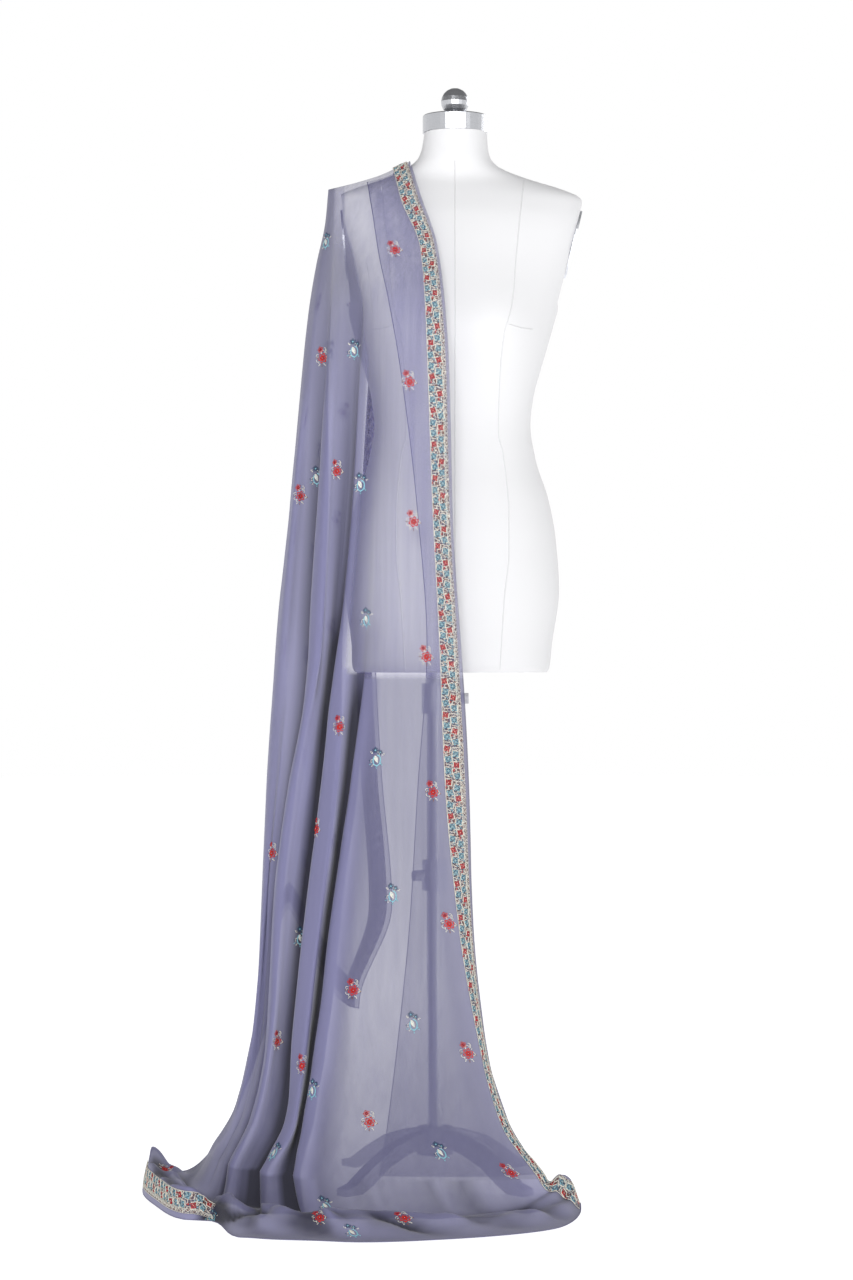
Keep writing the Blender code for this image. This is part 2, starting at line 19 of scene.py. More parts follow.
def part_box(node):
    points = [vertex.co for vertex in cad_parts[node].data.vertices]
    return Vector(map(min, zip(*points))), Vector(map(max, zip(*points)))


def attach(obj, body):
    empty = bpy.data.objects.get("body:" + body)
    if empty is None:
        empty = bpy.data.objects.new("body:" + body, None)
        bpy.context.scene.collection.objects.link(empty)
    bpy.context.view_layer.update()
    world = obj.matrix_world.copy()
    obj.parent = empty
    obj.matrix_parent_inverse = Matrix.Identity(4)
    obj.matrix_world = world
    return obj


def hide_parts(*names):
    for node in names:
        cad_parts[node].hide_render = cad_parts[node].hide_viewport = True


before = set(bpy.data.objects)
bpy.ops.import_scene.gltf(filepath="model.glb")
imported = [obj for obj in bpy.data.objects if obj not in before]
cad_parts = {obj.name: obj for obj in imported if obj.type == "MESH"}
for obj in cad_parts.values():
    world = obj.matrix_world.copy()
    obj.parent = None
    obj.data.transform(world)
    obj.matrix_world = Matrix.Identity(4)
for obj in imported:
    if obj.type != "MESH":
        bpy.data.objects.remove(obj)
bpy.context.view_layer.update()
POLE_LOW, POLE_HIGH = (Vector(corner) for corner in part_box("pole"))
POLE_PLACE = Vector(((POLE_LOW.x + POLE_HIGH.x) / 2, (POLE_LOW.y + POLE_HIGH.y) / 2, 0.0))

bl_info = {
    "name": "Dupatta Stole on a Dress Form",
    "version": (1, 0, 0),
    "blender": (4, 5, 0),
    "location": "3D View > Sidebar > Stole",
    "description": "Drapes an embroidered sheer stole over a dress form and lights it",
    "category": "Add Mesh",
}

MM = 0.001

# The photograph's view: its size in pixels, the focal length in pixels and the camera's place.
PHOTO_WIDE, PHOTO_HIGH = 853, 1280
FOCAL_PIXELS = 3067.0
SENSOR = 36.0
CAMERA_PLACE = Vector((-0.01275, -4.6, 0.81))

# The dress form's middle line, which the cloth's sections go round, and how square they are.
FORM_X = 0.0255
SECTION_POWER = 2.4

# The shoulder ridge that the cloth lies on, from the neck to the shoulder's tip: x and height.
RIDGE = ((-0.038, 1.5278), (-0.063, 1.5158), (-0.078, 1.5085), (-0.117, 1.4963), (-0.160, 1.4855))
RIDGE_LEVEL = 1.505
RIDGE_ENDS_LEVEL = 1.30
FLOOR_LEVEL = 0.05

# The front fall's upright lines in millimetres from the pole, one row per level.
# turned: inner edge of the turned-under cloth. border and edge: the border's two sides.
# fold_2, fold_1, fold_0: the creases of the three long folds. side: the outline on the arm side.
# back_edge: the long edge of the back fall. pleat: how deep the folds are. lap: how far the
# cloth laps over each crease.
FALL = (
    # level, turned, border, edge, fold_2, fold_1, fold_0, side, back_edge, pleat, lap
    (1.505, -102, -63, -38, -108, -134, -150, -160, -38, 0, 0),
    (1.450, -93, -50, -22, -105, -133, -151, -165, -50, 1, 0),
    (1.380, -83, -22, 3, -97, -118, -153, -178, -60, 5, 3),
    (1.300, -67, -15, 14, -86, -107, -155, -190, -70, 9, 6),
    (1.200, -50, -11, 21, -84, -112, -160, -201, -80, 14, 9),
    (1.000, -26, -4, 26, -92, -124, -169, -219, -90, 21, 13),
    (0.800, -12, 6, 38, -103, -142, -178, -239, -92, 25, 16),
    (0.600, -25, 14, 49, -121, -158, -210, -250, -82, 23, 19),
    (0.400, -37, 33, 56, -148, -181, -236, -259, -66, 25, 20),
    (0.250, -52, 58, 70, -166, -199, -246, -268, -116, 25, 19),
    (0.120, -68, 94, 105, -186, -215, -268, -297, -122, 24, 16),
    (0.050, -79, 145, 155, -202, -250, -300, -334, -122, 19, 12),
)
FALL_NAMES = (
    "turned", "border", "edge", "fold_2", "fold_1", "fold_0", "side", "back_edge", "pleat", "lap",
)

# How strong each long fold is, one row per level: over the form only fold_0 is deep.
FOLD_STRENGTH = (
    # level, fold_2, fold_1, fold_0
    (1.505, 0, 0, 0),
    (1.380, 0, 0.2, 0.4),
    (1.300, 0.03, 0.35, 0.8),
    (1.200, 0.04, 0.4, 1.3),
    (1.000, 0.05, 0.2, 1.9),
    (0.880, 0.07, 0.22, 1.9),
    (0.760, 0.2, 0.8, 1.3),
    (0.680, 0.45, 1.2, 0.9),
    (0.500, 0.75, 1.3, 0.9),
    (0.300, 0.9, 1.1, 0.8),
    (0.050, 1, 1, 0.8),
)

# How far the cloth stands before and behind the pole, in millimetres, one row per level.
DEPTH = (
    # level, front, back
    (1.505, 0, 0),
    (1.503, 16, 16),
    (1.498, 30, 30),
    (1.490, 43, 44),
    (1.475, 62, 64),
    (1.450, 83, 85),
    (1.380, 122, 108),
    (1.300, 158, 115),
    (1.200, 162, 115),
    (1.000, 160, 122),
    (0.800, 162, 133),
    (0.600, 170, 145),
    (0.400, 185, 152),
    (0.250, 210, 156),
    (0.120, 250, 160),
    (0.050, 280, 165),
)

# The front fall's lines, from the border to the arm side. crease: the fall line that it follows.
# beside: millimetres to the right of it, and laps: how many laps to the left of it. out: how far
# it stands out, against the pleat depth. end_x, end_y, roll: where it ends on the floor and how
# high the cloth rolls up on its way there, in millimetres. columns: to the next line.
FRONT_LINES = (
    # name, crease, beside, laps, out, end_x, end_y, roll, columns
    ("edge", "edge", 0, 0, 0, 206, -215, 4, 2),
    ("border_outer", "edge", 0, 0, 0, 207, -224, 5, 8),
    ("border", "border", 0, 0, 0, 206, -254, 8, 18),
    ("panel_right", "border", 0, 0, -0.2, 172, -375, 13, 18),
    ("panel_left", "border", 0, 0, 0.1, 20, -458, 16, 18),
    ("crest_2", "fold_2", 14, 0, 0.8, -100, -480, 24, 5),
    ("tip_2", "fold_2", 4, 0.5, 0.4, -122, -478, 22, 4),
    ("tuck_2", "fold_2", 0, -0.7, -0.6, -140, -474, 12, 4),
    ("fold_2", "fold_2", -6, 0, -0.9, -158, -470, 10, 6),
    ("crest_1", "fold_1", 14, 0, 0.9, -212, -462, 26, 5),
    ("tip_1", "fold_1", 4, 0.5, 0.4, -232, -457, 22, 4),
    ("tuck_1", "fold_1", 0, -0.7, -0.6, -250, -450, 14, 4),
    ("fold_1", "fold_1", -6, 0, -1.0, -268, -445, 12, 6),
    ("crest_0", "fold_0", 14, 0, 0.8, -312, -330, 24, 5),
    ("tip_0", "fold_0", 4, 0.4, 0.3, -326, -326, 20, 4),
    ("tuck_0", "fold_0", 0, -0.4, -0.4, -340, -322, 14, 4),
    ("fold_0", "fold_0", -5, 0, -0.7, -352, -318, 12, 5),
    ("flank", "side", 0, 0, 0.5, -398, -220, 26, 6),
    ("side", "side", 0, 0, 0, -428, -110, 22, 6),
    ("behind", "side", 0, 0, 0, -436, 5, 8, 0),
)

# The back fall's lines, from the arm side to its long edge. across: the share of the way there.
# out: how far the flute stands out, against the pleat depth. ends: the level of the cloth's hem.
BACK_LINES = (
    # across, out, ends, columns
    (0.02, 0.0, 0.050, 8),
    (0.08, -0.5, 0.200, 10),
    (0.18, 0.6, 0.400, 10),
    (0.32, -0.7, 0.360, 10),
    (0.46, 0.6, 0.318, 10),
    (0.60, -0.6, 0.288, 10),
    (0.74, 0.6, 0.262, 10),
    (0.88, -0.3, 0.246, 10),
    (1.00, 0.0, 0.240, 0),
)

# How much one layer of cloth hides, in percent, by height: the open panel, the gathered folds, the
# arm side, the back fall, the turned-under edge, and the panel right beside the border.
COVER = (
    # height, panel, folds, flank, back, turned, beside
    (0.00, 92, 98, 97, 60, 60, 93),
    (0.12, 82, 97, 96, 52, 44, 84),
    (0.30, 73, 95, 94, 46, 33, 82),
    (0.50, 75, 93, 90, 46, 30, 80),
    (0.752, 74, 92, 88, 46, 30, 74),
    (0.768, 29, 92, 88, 46, 24, 29),
    (1.00, 27, 90, 88, 46, 28, 27),
    (1.20, 26, 84, 86, 46, 30, 26),
    (1.38, 25, 68, 80, 44, 32, 25),
    (1.45, 25, 46, 74, 42, 34, 25),
    (1.60, 25, 30, 60, 40, 34, 25),
)
ZONES = ("panel", "folds", "flank", "back", "turned", "beside")
FOLDS = ("fold_2", "fold_1", "fold_0")

# Where things begin or end across the cloth, in line numbers of FRONT_LINES, from none to full.
BESIDE_ENDS = (2.35, 2.6)
ARM_SIDE_BEGINS = (13.5, 16.0)
PLEATS_BEGIN = (10.4, 11.2)
PLEATS_END = (16.8, 18.2)
TILT_ENDS = (0.9, 2.6)
STANDING_BEGINS = (13.0, 15.5)
SHADE_BEGINS = (3.8, 6.5)
SHADE_ENDS = (12.5, 14.5)

# The heights between which the cloth's tone changes, under the form's bottom line.
TONE_CHANGE = (0.752, 0.768)

# The depth of fold that takes the painted shade and highlight from one end to the other, and the tone of
# flat cloth.
FOLD_SHADE_DEPTH = 0.015
TRAIL_FOLD_SHADE_DEPTH = 0.009
FLAT_CLOTH_SHADE = 0.62

# The grid columns to each side, and rows above the floor, that a fold is measured against.
RELIEF_REACH = 12
RELIEF_SPREAD = 6.0

# The border's whole width, and the embroidered band's width that its patterns are placed against.
BORDER_WIDTH = 0.031
BAND_WIDTH = 0.029
BAND_COLUMNS = 9
END_MARGIN = 0.008

# How high things lie off the cloth.
NET_LIFT = 0.0009
BORDER_LIFT = 0.0012
SPRAY_LIFT = 0.0006

# The floor trail: how far the cloth takes to come down, the height of its standing arm-side end and
# of the laid cloth, how far its border is tilted up, and how high the cloth crumples.
FOOT_LENGTH = 0.055
STANDING_END = 0.038
LAID_HEIGHT = 0.00125
TILTED_BORDER = 0.034
CRUMPLE_HEIGHT = 0.028

# The hanging cloth: where a fold's crest lies beside its crease, the depth of the small pleats, and
# the room that each layer keeps round the form.
CREST_BESIDE = 0.014
PLEAT_DEPTH = 0.0030
CLOTH_ROOM = 0.0035
TURNED_ROOM = 0.0012
TURNED_INSET = 0.001

# The grid's rows from the ridge to the shoulder level, down to the floor, and out along it.
SHOULDER_LEVEL = 1.40
SHOULDER_ROWS = 22
FALL_ROWS = 200
TRAIL_ROWS = 80
TURNED_COLUMNS = 18

# The dress form's torso, one row per height: middle, half width, front and back depth (mm).
TORSO = (
    # height, middle, half_width, front, back
    (0.762, 24, 144, 98, 103),
    (0.770, 24, 148, 102, 107),
    (0.800, 25, 150, 105, 112),
    (0.885, 26, 160, 108, 122),
    (0.960, 26, 155, 105, 112),
    (1.020, 26, 144, 98, 98),
    (1.080, 26, 125, 88, 85),
    (1.132, 26, 117, 84, 78),
    (1.170, 26, 121, 90, 80),
    (1.230, 26, 137, 102, 86),
    (1.275, 26, 150, 108, 90),
    (1.320, 28, 161, 104, 94),
    (1.380, 31, 176, 92, 92),
    (1.440, 34, 188, 75, 82),
    (1.470, 34, 186, 60, 66),
    (1.484, 33, 160, 52, 56),
    (1.494, 32, 128, 46, 50),
    (1.505, 30, 96, 43, 48),
    (1.518, 28, 68, 45, 49),
    (1.532, 29, 54, 47, 49),
    (1.550, 30, 49, 47, 48),
    (1.5697, 31, 47, 47, 47),
)
TORSO_POWER = 2.15
TORSO_POINTS = 128
TORSO_STEP = 0.006
SEAM_RADIUS = 0.0009

# Cloth inside the form above this height is lifted out in steps, and below it pushed outwards.
SHOULDER_TOP = 1.462
LIFT_STEP = 0.0006
MOST_LIFTS = 24

# The studio.
FLOOR_RADIUS = 14.0
FLOOR_DROP = 0.0004
LAMP_AIM = Vector((0.0, 0.0, 0.9))

# The bust and the cuts at the arms.
BUST = {"height": 1.275, "across": 0.078, "radius": 0.062, "out": 0.022}
ARM_CUT_X = {"left": -0.1350, "right": 0.2080}
ARM_HEIGHT = 1.415
ARM_OPENS = 1.31
ARM_LEAN = {"left": math.radians(5.0), "right": math.radians(14.0)}

# The seams on the form's front that the photograph shows: distance from the form's middle, height.
SEAMS = {
    "princess": (
        (0.107, 1.497), (0.102, 1.455), (0.095, 1.388), (0.089, 1.318), (0.083, 1.285),
        (0.076, 1.262), (0.070, 1.200), (0.068, 1.115), (0.075, 1.085), (0.083, 0.990),
        (0.083, 0.940), (0.076, 0.870), (0.070, 0.766),
    ),
    "centre": ((0.004, 1.522), (0.004, 1.300), (0.004, 1.130), (0.004, 0.950), (0.004, 0.766)),
    "bust": ((0.083, 1.272), (0.100, 1.268), (0.118, 1.268)),
}


def colour_setting(name, description, default):
    return FloatVectorProperty(
        name=name, description=description, subtype="COLOR", default=default, min=0.0, max=1.0
    )


def number_setting(name, description, subtype, default):
    return FloatProperty(name=name, description=description, subtype=subtype, default=default)


class StoleSettings(bpy.types.PropertyGroup):
    """Sizes and colours of the sheer cloth."""

    colour: colour_setting("Cloth colour", "Colour of the sheer cloth's threads", (0.138, 0.136, 0.236))
    cover: FloatProperty(
        name="Cover",
        description="How much the cloth hides what is behind it, against its own table",
        subtype="FACTOR",
        default=1.0,
        min=0.0,
        max=1.0,
    )
    ripple: number_setting("Ripple", "Depth of the ripples between the long folds", "DISTANCE", 0.0035)
    hem: number_setting("Hem", "Thickness of the rolled hems", "DISTANCE", 0.0011)


class EmbroiderySettings(bpy.types.PropertyGroup):
    """Thread colours and repeats of the border and the scattered flowers."""

    red: colour_setting("Red", "Large flowers", (0.68, 0.030, 0.018))
    pink: colour_setting("Pink", "Small flowers", (0.38, 0.022, 0.055))
    blue: colour_setting("Blue", "Blue flower tops", (0.030, 0.085, 0.170))
    teal: colour_setting("Teal", "Teal flowers", (0.27, 0.57, 0.68))
    cream: colour_setting("Cream", "Leaves and scrolls", (0.86, 0.83, 0.74))
    brown: colour_setting("Brown", "Small leaves", (0.26, 0.095, 0.060))
    repeat: number_setting(
        "Flower spacing", "Distance between the border's flowers in one column", "DISTANCE", 0.0163
    )


class FormSettings(bpy.types.PropertyGroup):
    """Colours of the dress form and its stand."""

    cover: colour_setting("Cover", "The form's knitted cover", (0.70, 0.70, 0.712))
    steel: colour_setting("Steel", "Neck cap, plates, pole and collars", (0.60, 0.61, 0.64))
    paint: colour_setting("Stand", "Collar knobs and base", (0.54, 0.54, 0.57))


class StudioSettings(bpy.types.PropertyGroup):
    """The light and the floor."""

    daylight: number_setting("Room light", "Strength of the light overhead", "NONE", 0.22)
    key: number_setting("Key light", "Main lamp", "POWER", 104.0)
    fill: number_setting("Fill light", "Second lamp", "POWER", 36.0)
    back: number_setting("Back light", "Lamp behind", "POWER", 45.0)
    floor: colour_setting("Floor", "Floor and backdrop", (0.62, 0.62, 0.625))


# Shader building


class Wire:
    """A shader socket that takes part in Python arithmetic."""

    def __init__(self, nodes, socket):
        self.nodes = nodes
        self.socket = socket

    def maths(self, operation, *values):
        return self.nodes.node("Math", {"operation": operation}, dict(enumerate(values)))

    def __add__(self, other):
        return self.maths("ADD", self, other)

    __radd__ = __add__

    def __sub__(self, other):
        return self.maths("SUBTRACT", self, other)

    def __rsub__(self, other):
        return self.maths("SUBTRACT", other, self)

    def __mul__(self, other):
        return self.maths("MULTIPLY", self, other)


class Nodes:
    """A node tree under construction."""

    def __init__(self, tree):
        self.tree = tree

    def put(self, socket, value):
        if isinstance(value, Wire):
            self.tree.links.new(value.socket, socket)
        elif socket.type == "RGBA" and len(value) == 3:
            socket.default_value = (*value, 1.0)
        else:
            socket.default_value = value

    def node(self, kind, settings=None, sockets=None, output=0):
        made = self.tree.nodes.new(f"ShaderNode{kind}")
        for name, value in (settings or {}).items():
            if name == "stops":
                self.set_stops(made.color_ramp, value)
            else:
                setattr(made, name, value)
        for name, value in (sockets or {}).items():
            self.put(made.inputs[name], value)
        return Wire(self, made.outputs[output])

    def set_stops(self, ramp, stops):
        while len(ramp.elements) < len(stops):
            ramp.elements.new(0.5)
        for element, (position, colour) in zip(ramp.elements, stops):
            element.position = position
            element.color = (*colour, 1.0)


class Finish(Nodes):
    """A material under construction: a Principled shader and the nodes that feed it."""

    def __init__(self, name):
        self.material = bpy.data.materials.new(name)
        self.material.use_nodes = True
        super().__init__(self.material.node_tree)
        self.shader = self.tree.nodes["Principled BSDF"]

    def place(self, scale=(1.0, 1.0, 1.0)):
        """Object coordinates, stretched along each axis."""
        found = self.node("TexCoord", output="Object")
        return self.node("Mapping", {}, {"Vector": found, "Scale": scale})

    def noise(self, scale, detail=2.0, roughness=0.5, at=None):
        sockets = {"Vector": at or self.place(), "Scale": scale, "Detail": detail, "Roughness": roughness}
        return self.node("TexNoise", {}, sockets, "Fac")

    def blend(self, factor, first, second):
        """A colour between two, through the Mix node's colour sockets."""
        return self.node("Mix", {"data_type": "RGBA"}, {0: factor, 6: first, 7: second}, 2)

    def tint(self, factor, colour, dark, light):
        """Colours the surface between two tones of one colour."""
        self.set("Base Color", self.blend(factor, darker(colour, dark), darker(colour, light)))

    def attribute(self, name):
        """A number that the mesh carries at each point."""
        return self.node("Attribute", {"attribute_name": name}, {}, "Fac")

    def clamped(self, wire, low=0.0, high=1.0):
        return self.node("Clamp", {}, {"Value": wire, "Min": low, "Max": high}, "Result")

    def bump(self, height, strength, distance):
        sockets = {"Height": height, "Strength": strength, "Distance": distance}
        self.set("Normal", self.node("Bump", {}, sockets, "Normal"))

    def set(self, socket, value):
        self.put(self.shader.inputs[socket], value)


def darker(colour, share):
    return tuple(part * share for part in colour)


def chiffon(settings):
    """Sheer crepe chiffon: hides more where the cloth is gathered, and its colour carries painted shade in
    the creases and a painted highlight on the crests.
    """
    finish = Finish("chiffon")
    crepe = finish.noise(1500.0, 2.0, 0.6)
    cloudy = finish.noise(9.0, 3.0)
    streaks = finish.noise(1.0, 3.0, 0.6, finish.place((95.0, 95.0, 2.6)))
    cover = finish.attribute("cover")
    relief = finish.attribute("relief")
    # Painted shade and highlight: darkest where the cloth lies in a crease, lightest on a crest, with random
    # tone on top.
    fold_shade_tone = finish.clamped(relief + (cloudy - 0.5) * 0.12 + (crepe - 0.5) * 0.10)
    dense_shaded_colour = finish.blend(fold_shade_tone, darker(settings.colour, 0.20), darker(settings.colour, 1.48))
    red, green, blue = settings.colour
    open_weave = (red * 1.08, green * 1.04, blue * 1.55)
    finish.set("Base Color", finish.blend(finish.clamped((0.72 - cover) * 2.2), dense_shaded_colour, open_weave))
    uneven = (crepe - 0.5) * 0.20 + (streaks - 0.5) * 0.34 + (FLAT_CLOTH_SHADE - relief) * 0.35
    finish.set("Alpha", finish.clamped(cover + uneven * (1.15 - cover), 0.05, 0.99))
    finish.set("Roughness", finish.clamped(0.72 + crepe * 0.2))
    finish.set("Sheen Weight", 0.18)
    finish.set("Sheen Roughness", 0.45)
    finish.set("Specular IOR Level", 0.25)
    finish.bump(crepe, 0.35, 0.0004)
    return finish.material


def hem_cloth(settings):
    finish = Finish("rolled_hem")
    twist = finish.noise(1100.0, 2.0)
    finish.tint(twist, settings.colour, 0.8, 1.3)
    finish.set("Roughness", 0.8)
    finish.set("Alpha", 0.93)
    finish.bump(twist, 0.4, 0.0004)
    return finish.material


def thread(name, colour):
    """Satin-stitched embroidery thread."""
    finish = Finish(f"thread_{name}")
    strands = finish.noise(700.0, 1.0, 0.4, finish.place((1.0, 1.0, 3.2)))
    tone = finish.noise(120.0, 2.0)
    shade = finish.blend(strands, darker(colour, 0.5), darker(colour, 1.15))
    finish.set("Base Color", finish.blend(tone, shade, darker(colour, 0.8)))
    finish.set("Roughness", finish.clamped(0.5 + strands * 0.3))
    finish.set("Specular IOR Level", 0.3)
    finish.bump(strands, 0.7, 0.0005)
    return finish.material


def net_ground(settings):
    """The border's net: cloth-coloured, closely filled with fine cream scrolls."""
    finish = Finish("border_net")
    warp = finish.noise(260.0, 1.0)
    aside = warp * 0.0022
    shift = finish.node("CombineXYZ", {}, {0: aside, 1: aside, 2: aside})
    place = finish.node("VectorMath", {"operation": "ADD"}, {0: finish.place(), 1: shift})
    cells = {"Vector": place, "Scale": 215.0}
    lines = finish.node("TexVoronoi", {"feature": "DISTANCE_TO_EDGE"}, cells)
    filled = finish.clamped(1.1 - lines * 20.0)
    brown = finish.clamped((finish.noise(240.0, 1.0) - 0.48) * 9.0)
    ground = finish.blend(brown, (0.10, 0.095, 0.15), (0.13, 0.045, 0.036))
    finish.set("Base Color", finish.blend(filled, ground, settings.cream))
    finish.set("Alpha", finish.clamped(0.72 + filled * 0.28))
    finish.set("Roughness", 0.75)
    finish.bump(filled, 0.6, 0.0006)
    return finish.material


def knitted_cover(settings):
    """The form's stretched white cover."""
    finish = Finish("knitted_cover")
    rib = finish.noise(900.0, 1.0, 0.4, finish.place((1.0, 1.0, 0.35)))
    soft = finish.noise(6.0, 3.0)
    finish.tint(soft, settings.cover, 0.985, 1.0)
    finish.set("Roughness", finish.clamped(0.78 + rib * 0.12))
    finish.set("Sheen Weight", 0.1)
    finish.bump(rib, 0.12, 0.0003)
    return finish.material


def seam_thread(settings):
    finish = Finish("cover_seam")
    stitches = finish.noise(500.0, 1.0)
    finish.tint(stitches, settings.cover, 0.90, 0.99)
    finish.set("Roughness", 0.85)
    finish.bump(stitches, 0.4, 0.0003)
    return finish.material


def brushed_steel(settings, name, tint, rough):
    finish = Finish(name)
    grain = finish.noise(55.0, 3.0, 0.7, finish.place((1.0, 1.0, 26.0)))
    finish.tint(grain, darker(settings.steel, tint), 0.82, 1.12)
    finish.set("Metallic", 1.0)
    finish.set("Roughness", finish.clamped(rough + (grain - 0.5) * 0.22))
    finish.bump(grain, 0.08, 0.0002)
    return finish.material


def stand_paint(settings):
    finish = Finish("stand_paint")
    orange_peel = finish.noise(320.0, 2.0)
    wear = finish.noise(14.0, 4.0, 0.6)
    worn = finish.clamped((wear - 0.58) * 5.0)
    finish.tint(worn, settings.paint, 1.0, 1.45)
    finish.set("Metallic", finish.clamped(0.35 + worn * 0.4))
    finish.set("Roughness", finish.clamped(0.48 - worn * 0.14 + orange_peel * 0.08))
    finish.bump(orange_peel, 0.12, 0.0003)
    return finish.material


def floor_paint(settings):
    finish = Finish("studio_floor")
    cloudy = finish.noise(0.7, 2.0)
    finish.tint(cloudy, settings.floor, 0.99, 1.0)
    finish.set("Roughness", 0.9)
    finish.set("Emission Color", (1.0, 1.0, 1.0))
    finish.set("Emission Strength", 0.82)
    return finish.material


# Curves through tables


def slopes_of(at, values):
    """Slopes that keep a cubic through the points from overshooting them."""
    rises = np.diff(values) / np.diff(at)
    before, after = rises[:-1], rises[1:]
    product = before * after
    total = np.where(product > 0, before + after, 1.0)
    inner = np.where(product > 0, 2 * product / total, 0.0)
    return np.concatenate([rises[:1], inner, rises[-1:]])


def through(at, values, wanted):
    """A smooth curve through (at, values), read at the wanted places."""
    at, values = np.asarray(at, float), np.asarray(values, float)
    if at[0] > at[-1]:
        at, values = at[::-1], values[::-1]
    slopes = slopes_of(at, values)
    wanted = np.clip(np.asarray(wanted, float), at[0], at[-1])
    i = np.clip(np.searchsorted(at, wanted) - 1, 0, len(at) - 2)
    step = at[i + 1] - at[i]
    t = (wanted - at[i]) / step
    return (
        (2 * t**3 - 3 * t**2 + 1) * values[i]
        + (t**3 - 2 * t**2 + t) * step * slopes[i]
        + (3 * t**2 - 2 * t**3) * values[i + 1]
        + (t**3 - t**2) * step * slopes[i + 1]
    )


def across_lines(points, wanted):
    """A smooth curve through a run of points, one per line of the cloth, read at line numbers."""
    points = np.asarray(points, float)
    lengths = np.maximum(np.linalg.norm(np.diff(points, axis=0), axis=1), 1e-5)
    at = np.concatenate([[0.0], np.cumsum(lengths)])
    along = np.interp(wanted, range(len(points)), at)
    return np.stack([through(at, values, along) for values in points.T], axis=-1)


def read_table(table, column, wanted, unit=1.0):
    """One column of a table, read at places in its first column."""
    return through([row[0] for row in table], [row[column] * unit for row in table], wanted)


def fall(name, level):
    return read_table(FALL, 1 + FALL_NAMES.index(name), level, MM)


def depth(side, level):
    return read_table(DEPTH, 1 + ("front", "back").index(side), level, MM)


def fold_strength(crease, level):
    return read_table(FOLD_STRENGTH, 1 + FOLDS.index(crease), level)


# The stole's surface


def section_depth(side, x, level):
    """How far the rounded section stands from the middle plane at x."""
    reach = FORM_X - fall("side", level)
    share = np.clip(np.abs(x - FORM_X) / reach, 0, 1)
    return depth(side, level) * (1 - share**SECTION_POWER) ** (1 / SECTION_POWER)


def ridge_height(x):
    return read_table(RIDGE, 1, x)


def height_of(x_at_ridge, level):
    """The real height of a level: below the shoulder the two are the same."""
    fade = np.clip((level - RIDGE_ENDS_LEVEL) / (RIDGE_LEVEL - RIDGE_ENDS_LEVEL), 0, 1)
    return level + (ridge_height(x_at_ridge) - RIDGE_LEVEL) * fade**2 * (3 - 2 * fade)


def turned_back(level):
    """How far the border turns towards the back, so that it keeps its width where it looks narrow."""
    seen = fall("edge", level) - fall("border", level)
    hidden = np.sqrt(np.clip(BORDER_WIDTH**2 - seen**2, 0, None))
    return hidden * np.clip((0.75 - level) / 0.2, 0, 1)


def front_line(row, level):
    """x and y of one upright line of the front fall."""
    name, crease, beside, laps, out = row[:5]
    edge, border = fall("edge", level), fall("border", level)
    below = np.clip((RIDGE_LEVEL - level) / 0.1, 0.5, 1)
    if crease in FOLDS:
        strength = fold_strength(crease, level)
        laps, out = laps * strength, out * strength
    out = out * fall("pleat", level)
    if name == "edge":
        x, out = edge, -0.004 - turned_back(level)
    elif name == "border_outer":
        x, out = edge - 0.16 * (edge - border), -0.82 * turned_back(level)
    elif name in ("panel_right", "panel_left"):
        crest = fall("fold_2", level) + CREST_BESIDE * below
        x = border + (crest - border) * {"panel_right": 0.36, "panel_left": 0.70}[name]
    elif name == "flank":
        x = (fall("fold_0", level) + 2 * fall("side", level)) / 3
    else:
        x = fall(crease, level) + beside * MM * below - laps * fall("lap", level)
    out = out * np.clip((RIDGE_LEVEL - level) / 0.02, 0, 1)
    return x, -section_depth("front", x, level) - out


def back_line(row, level):
    """x and y of one upright line of the back fall."""
    across, out = row[:2]
    side, edge = fall("side", level), fall("back_edge", level)
    x = side + (edge - side) * across
    return x, section_depth("back", x, level) + out * fall("pleat", level) * 0.8


BEHIND = len(FRONT_LINES) - 1
LINE_COUNT = BEHIND + len(BACK_LINES)


def line_points(number, levels):
    """Points down one line of the cloth, one for each level."""
    if number < BEHIND:
        row, shape = FRONT_LINES[number], front_line
    else:
        row, shape = BACK_LINES[number - BEHIND], back_line
    x, y = shape(row, levels)
    top, _ = shape(row, np.array([RIDGE_LEVEL]))
    return np.stack([x, y, height_of(top[0], levels)], axis=-1)


def sheet_grid(places, levels):
    """The cloth's surface: rows of points at line numbers `places`, at levels[row][line]."""
    levels = np.asarray(levels, float)
    lines = np.stack([line_points(n, levels[:, n]) for n in range(LINE_COUNT)], axis=1)
    return np.array([across_lines(row, places) for row in lines])


def falling_levels(share):
    """From the shoulder (share 0) to the floor or to the hem (share 1)."""
    ends = np.array([FLOOR_LEVEL] * BEHIND + [row[2] for row in BACK_LINES])
    return SHOULDER_LEVEL + (ends - SHOULDER_LEVEL) * share


def places_of(first, columns):
    found = [float(first)]
    for line, count in enumerate(columns):
        found += [first + line + (i + 1) / count for i in range(count)]
    return np.array(found)


FRONT_PLACES = places_of(0, [row[-1] for row in FRONT_LINES[:-1]])
BACK_PLACES = places_of(BEHIND, [row[-1] for row in BACK_LINES[:-1]])


def smooth_step(value, low, high):
    t = np.clip((np.asarray(value, float) - low) / (high - low), 0, 1)
    return t * t * (3 - 2 * t)


def normals_of(grid):
    """Outward unit normals of a grid of points that runs down and then round towards the back."""
    found = np.cross(np.gradient(grid, axis=1), np.gradient(grid, axis=0))
    return found / np.maximum(np.linalg.norm(found, axis=2, keepdims=True), 1e-9)


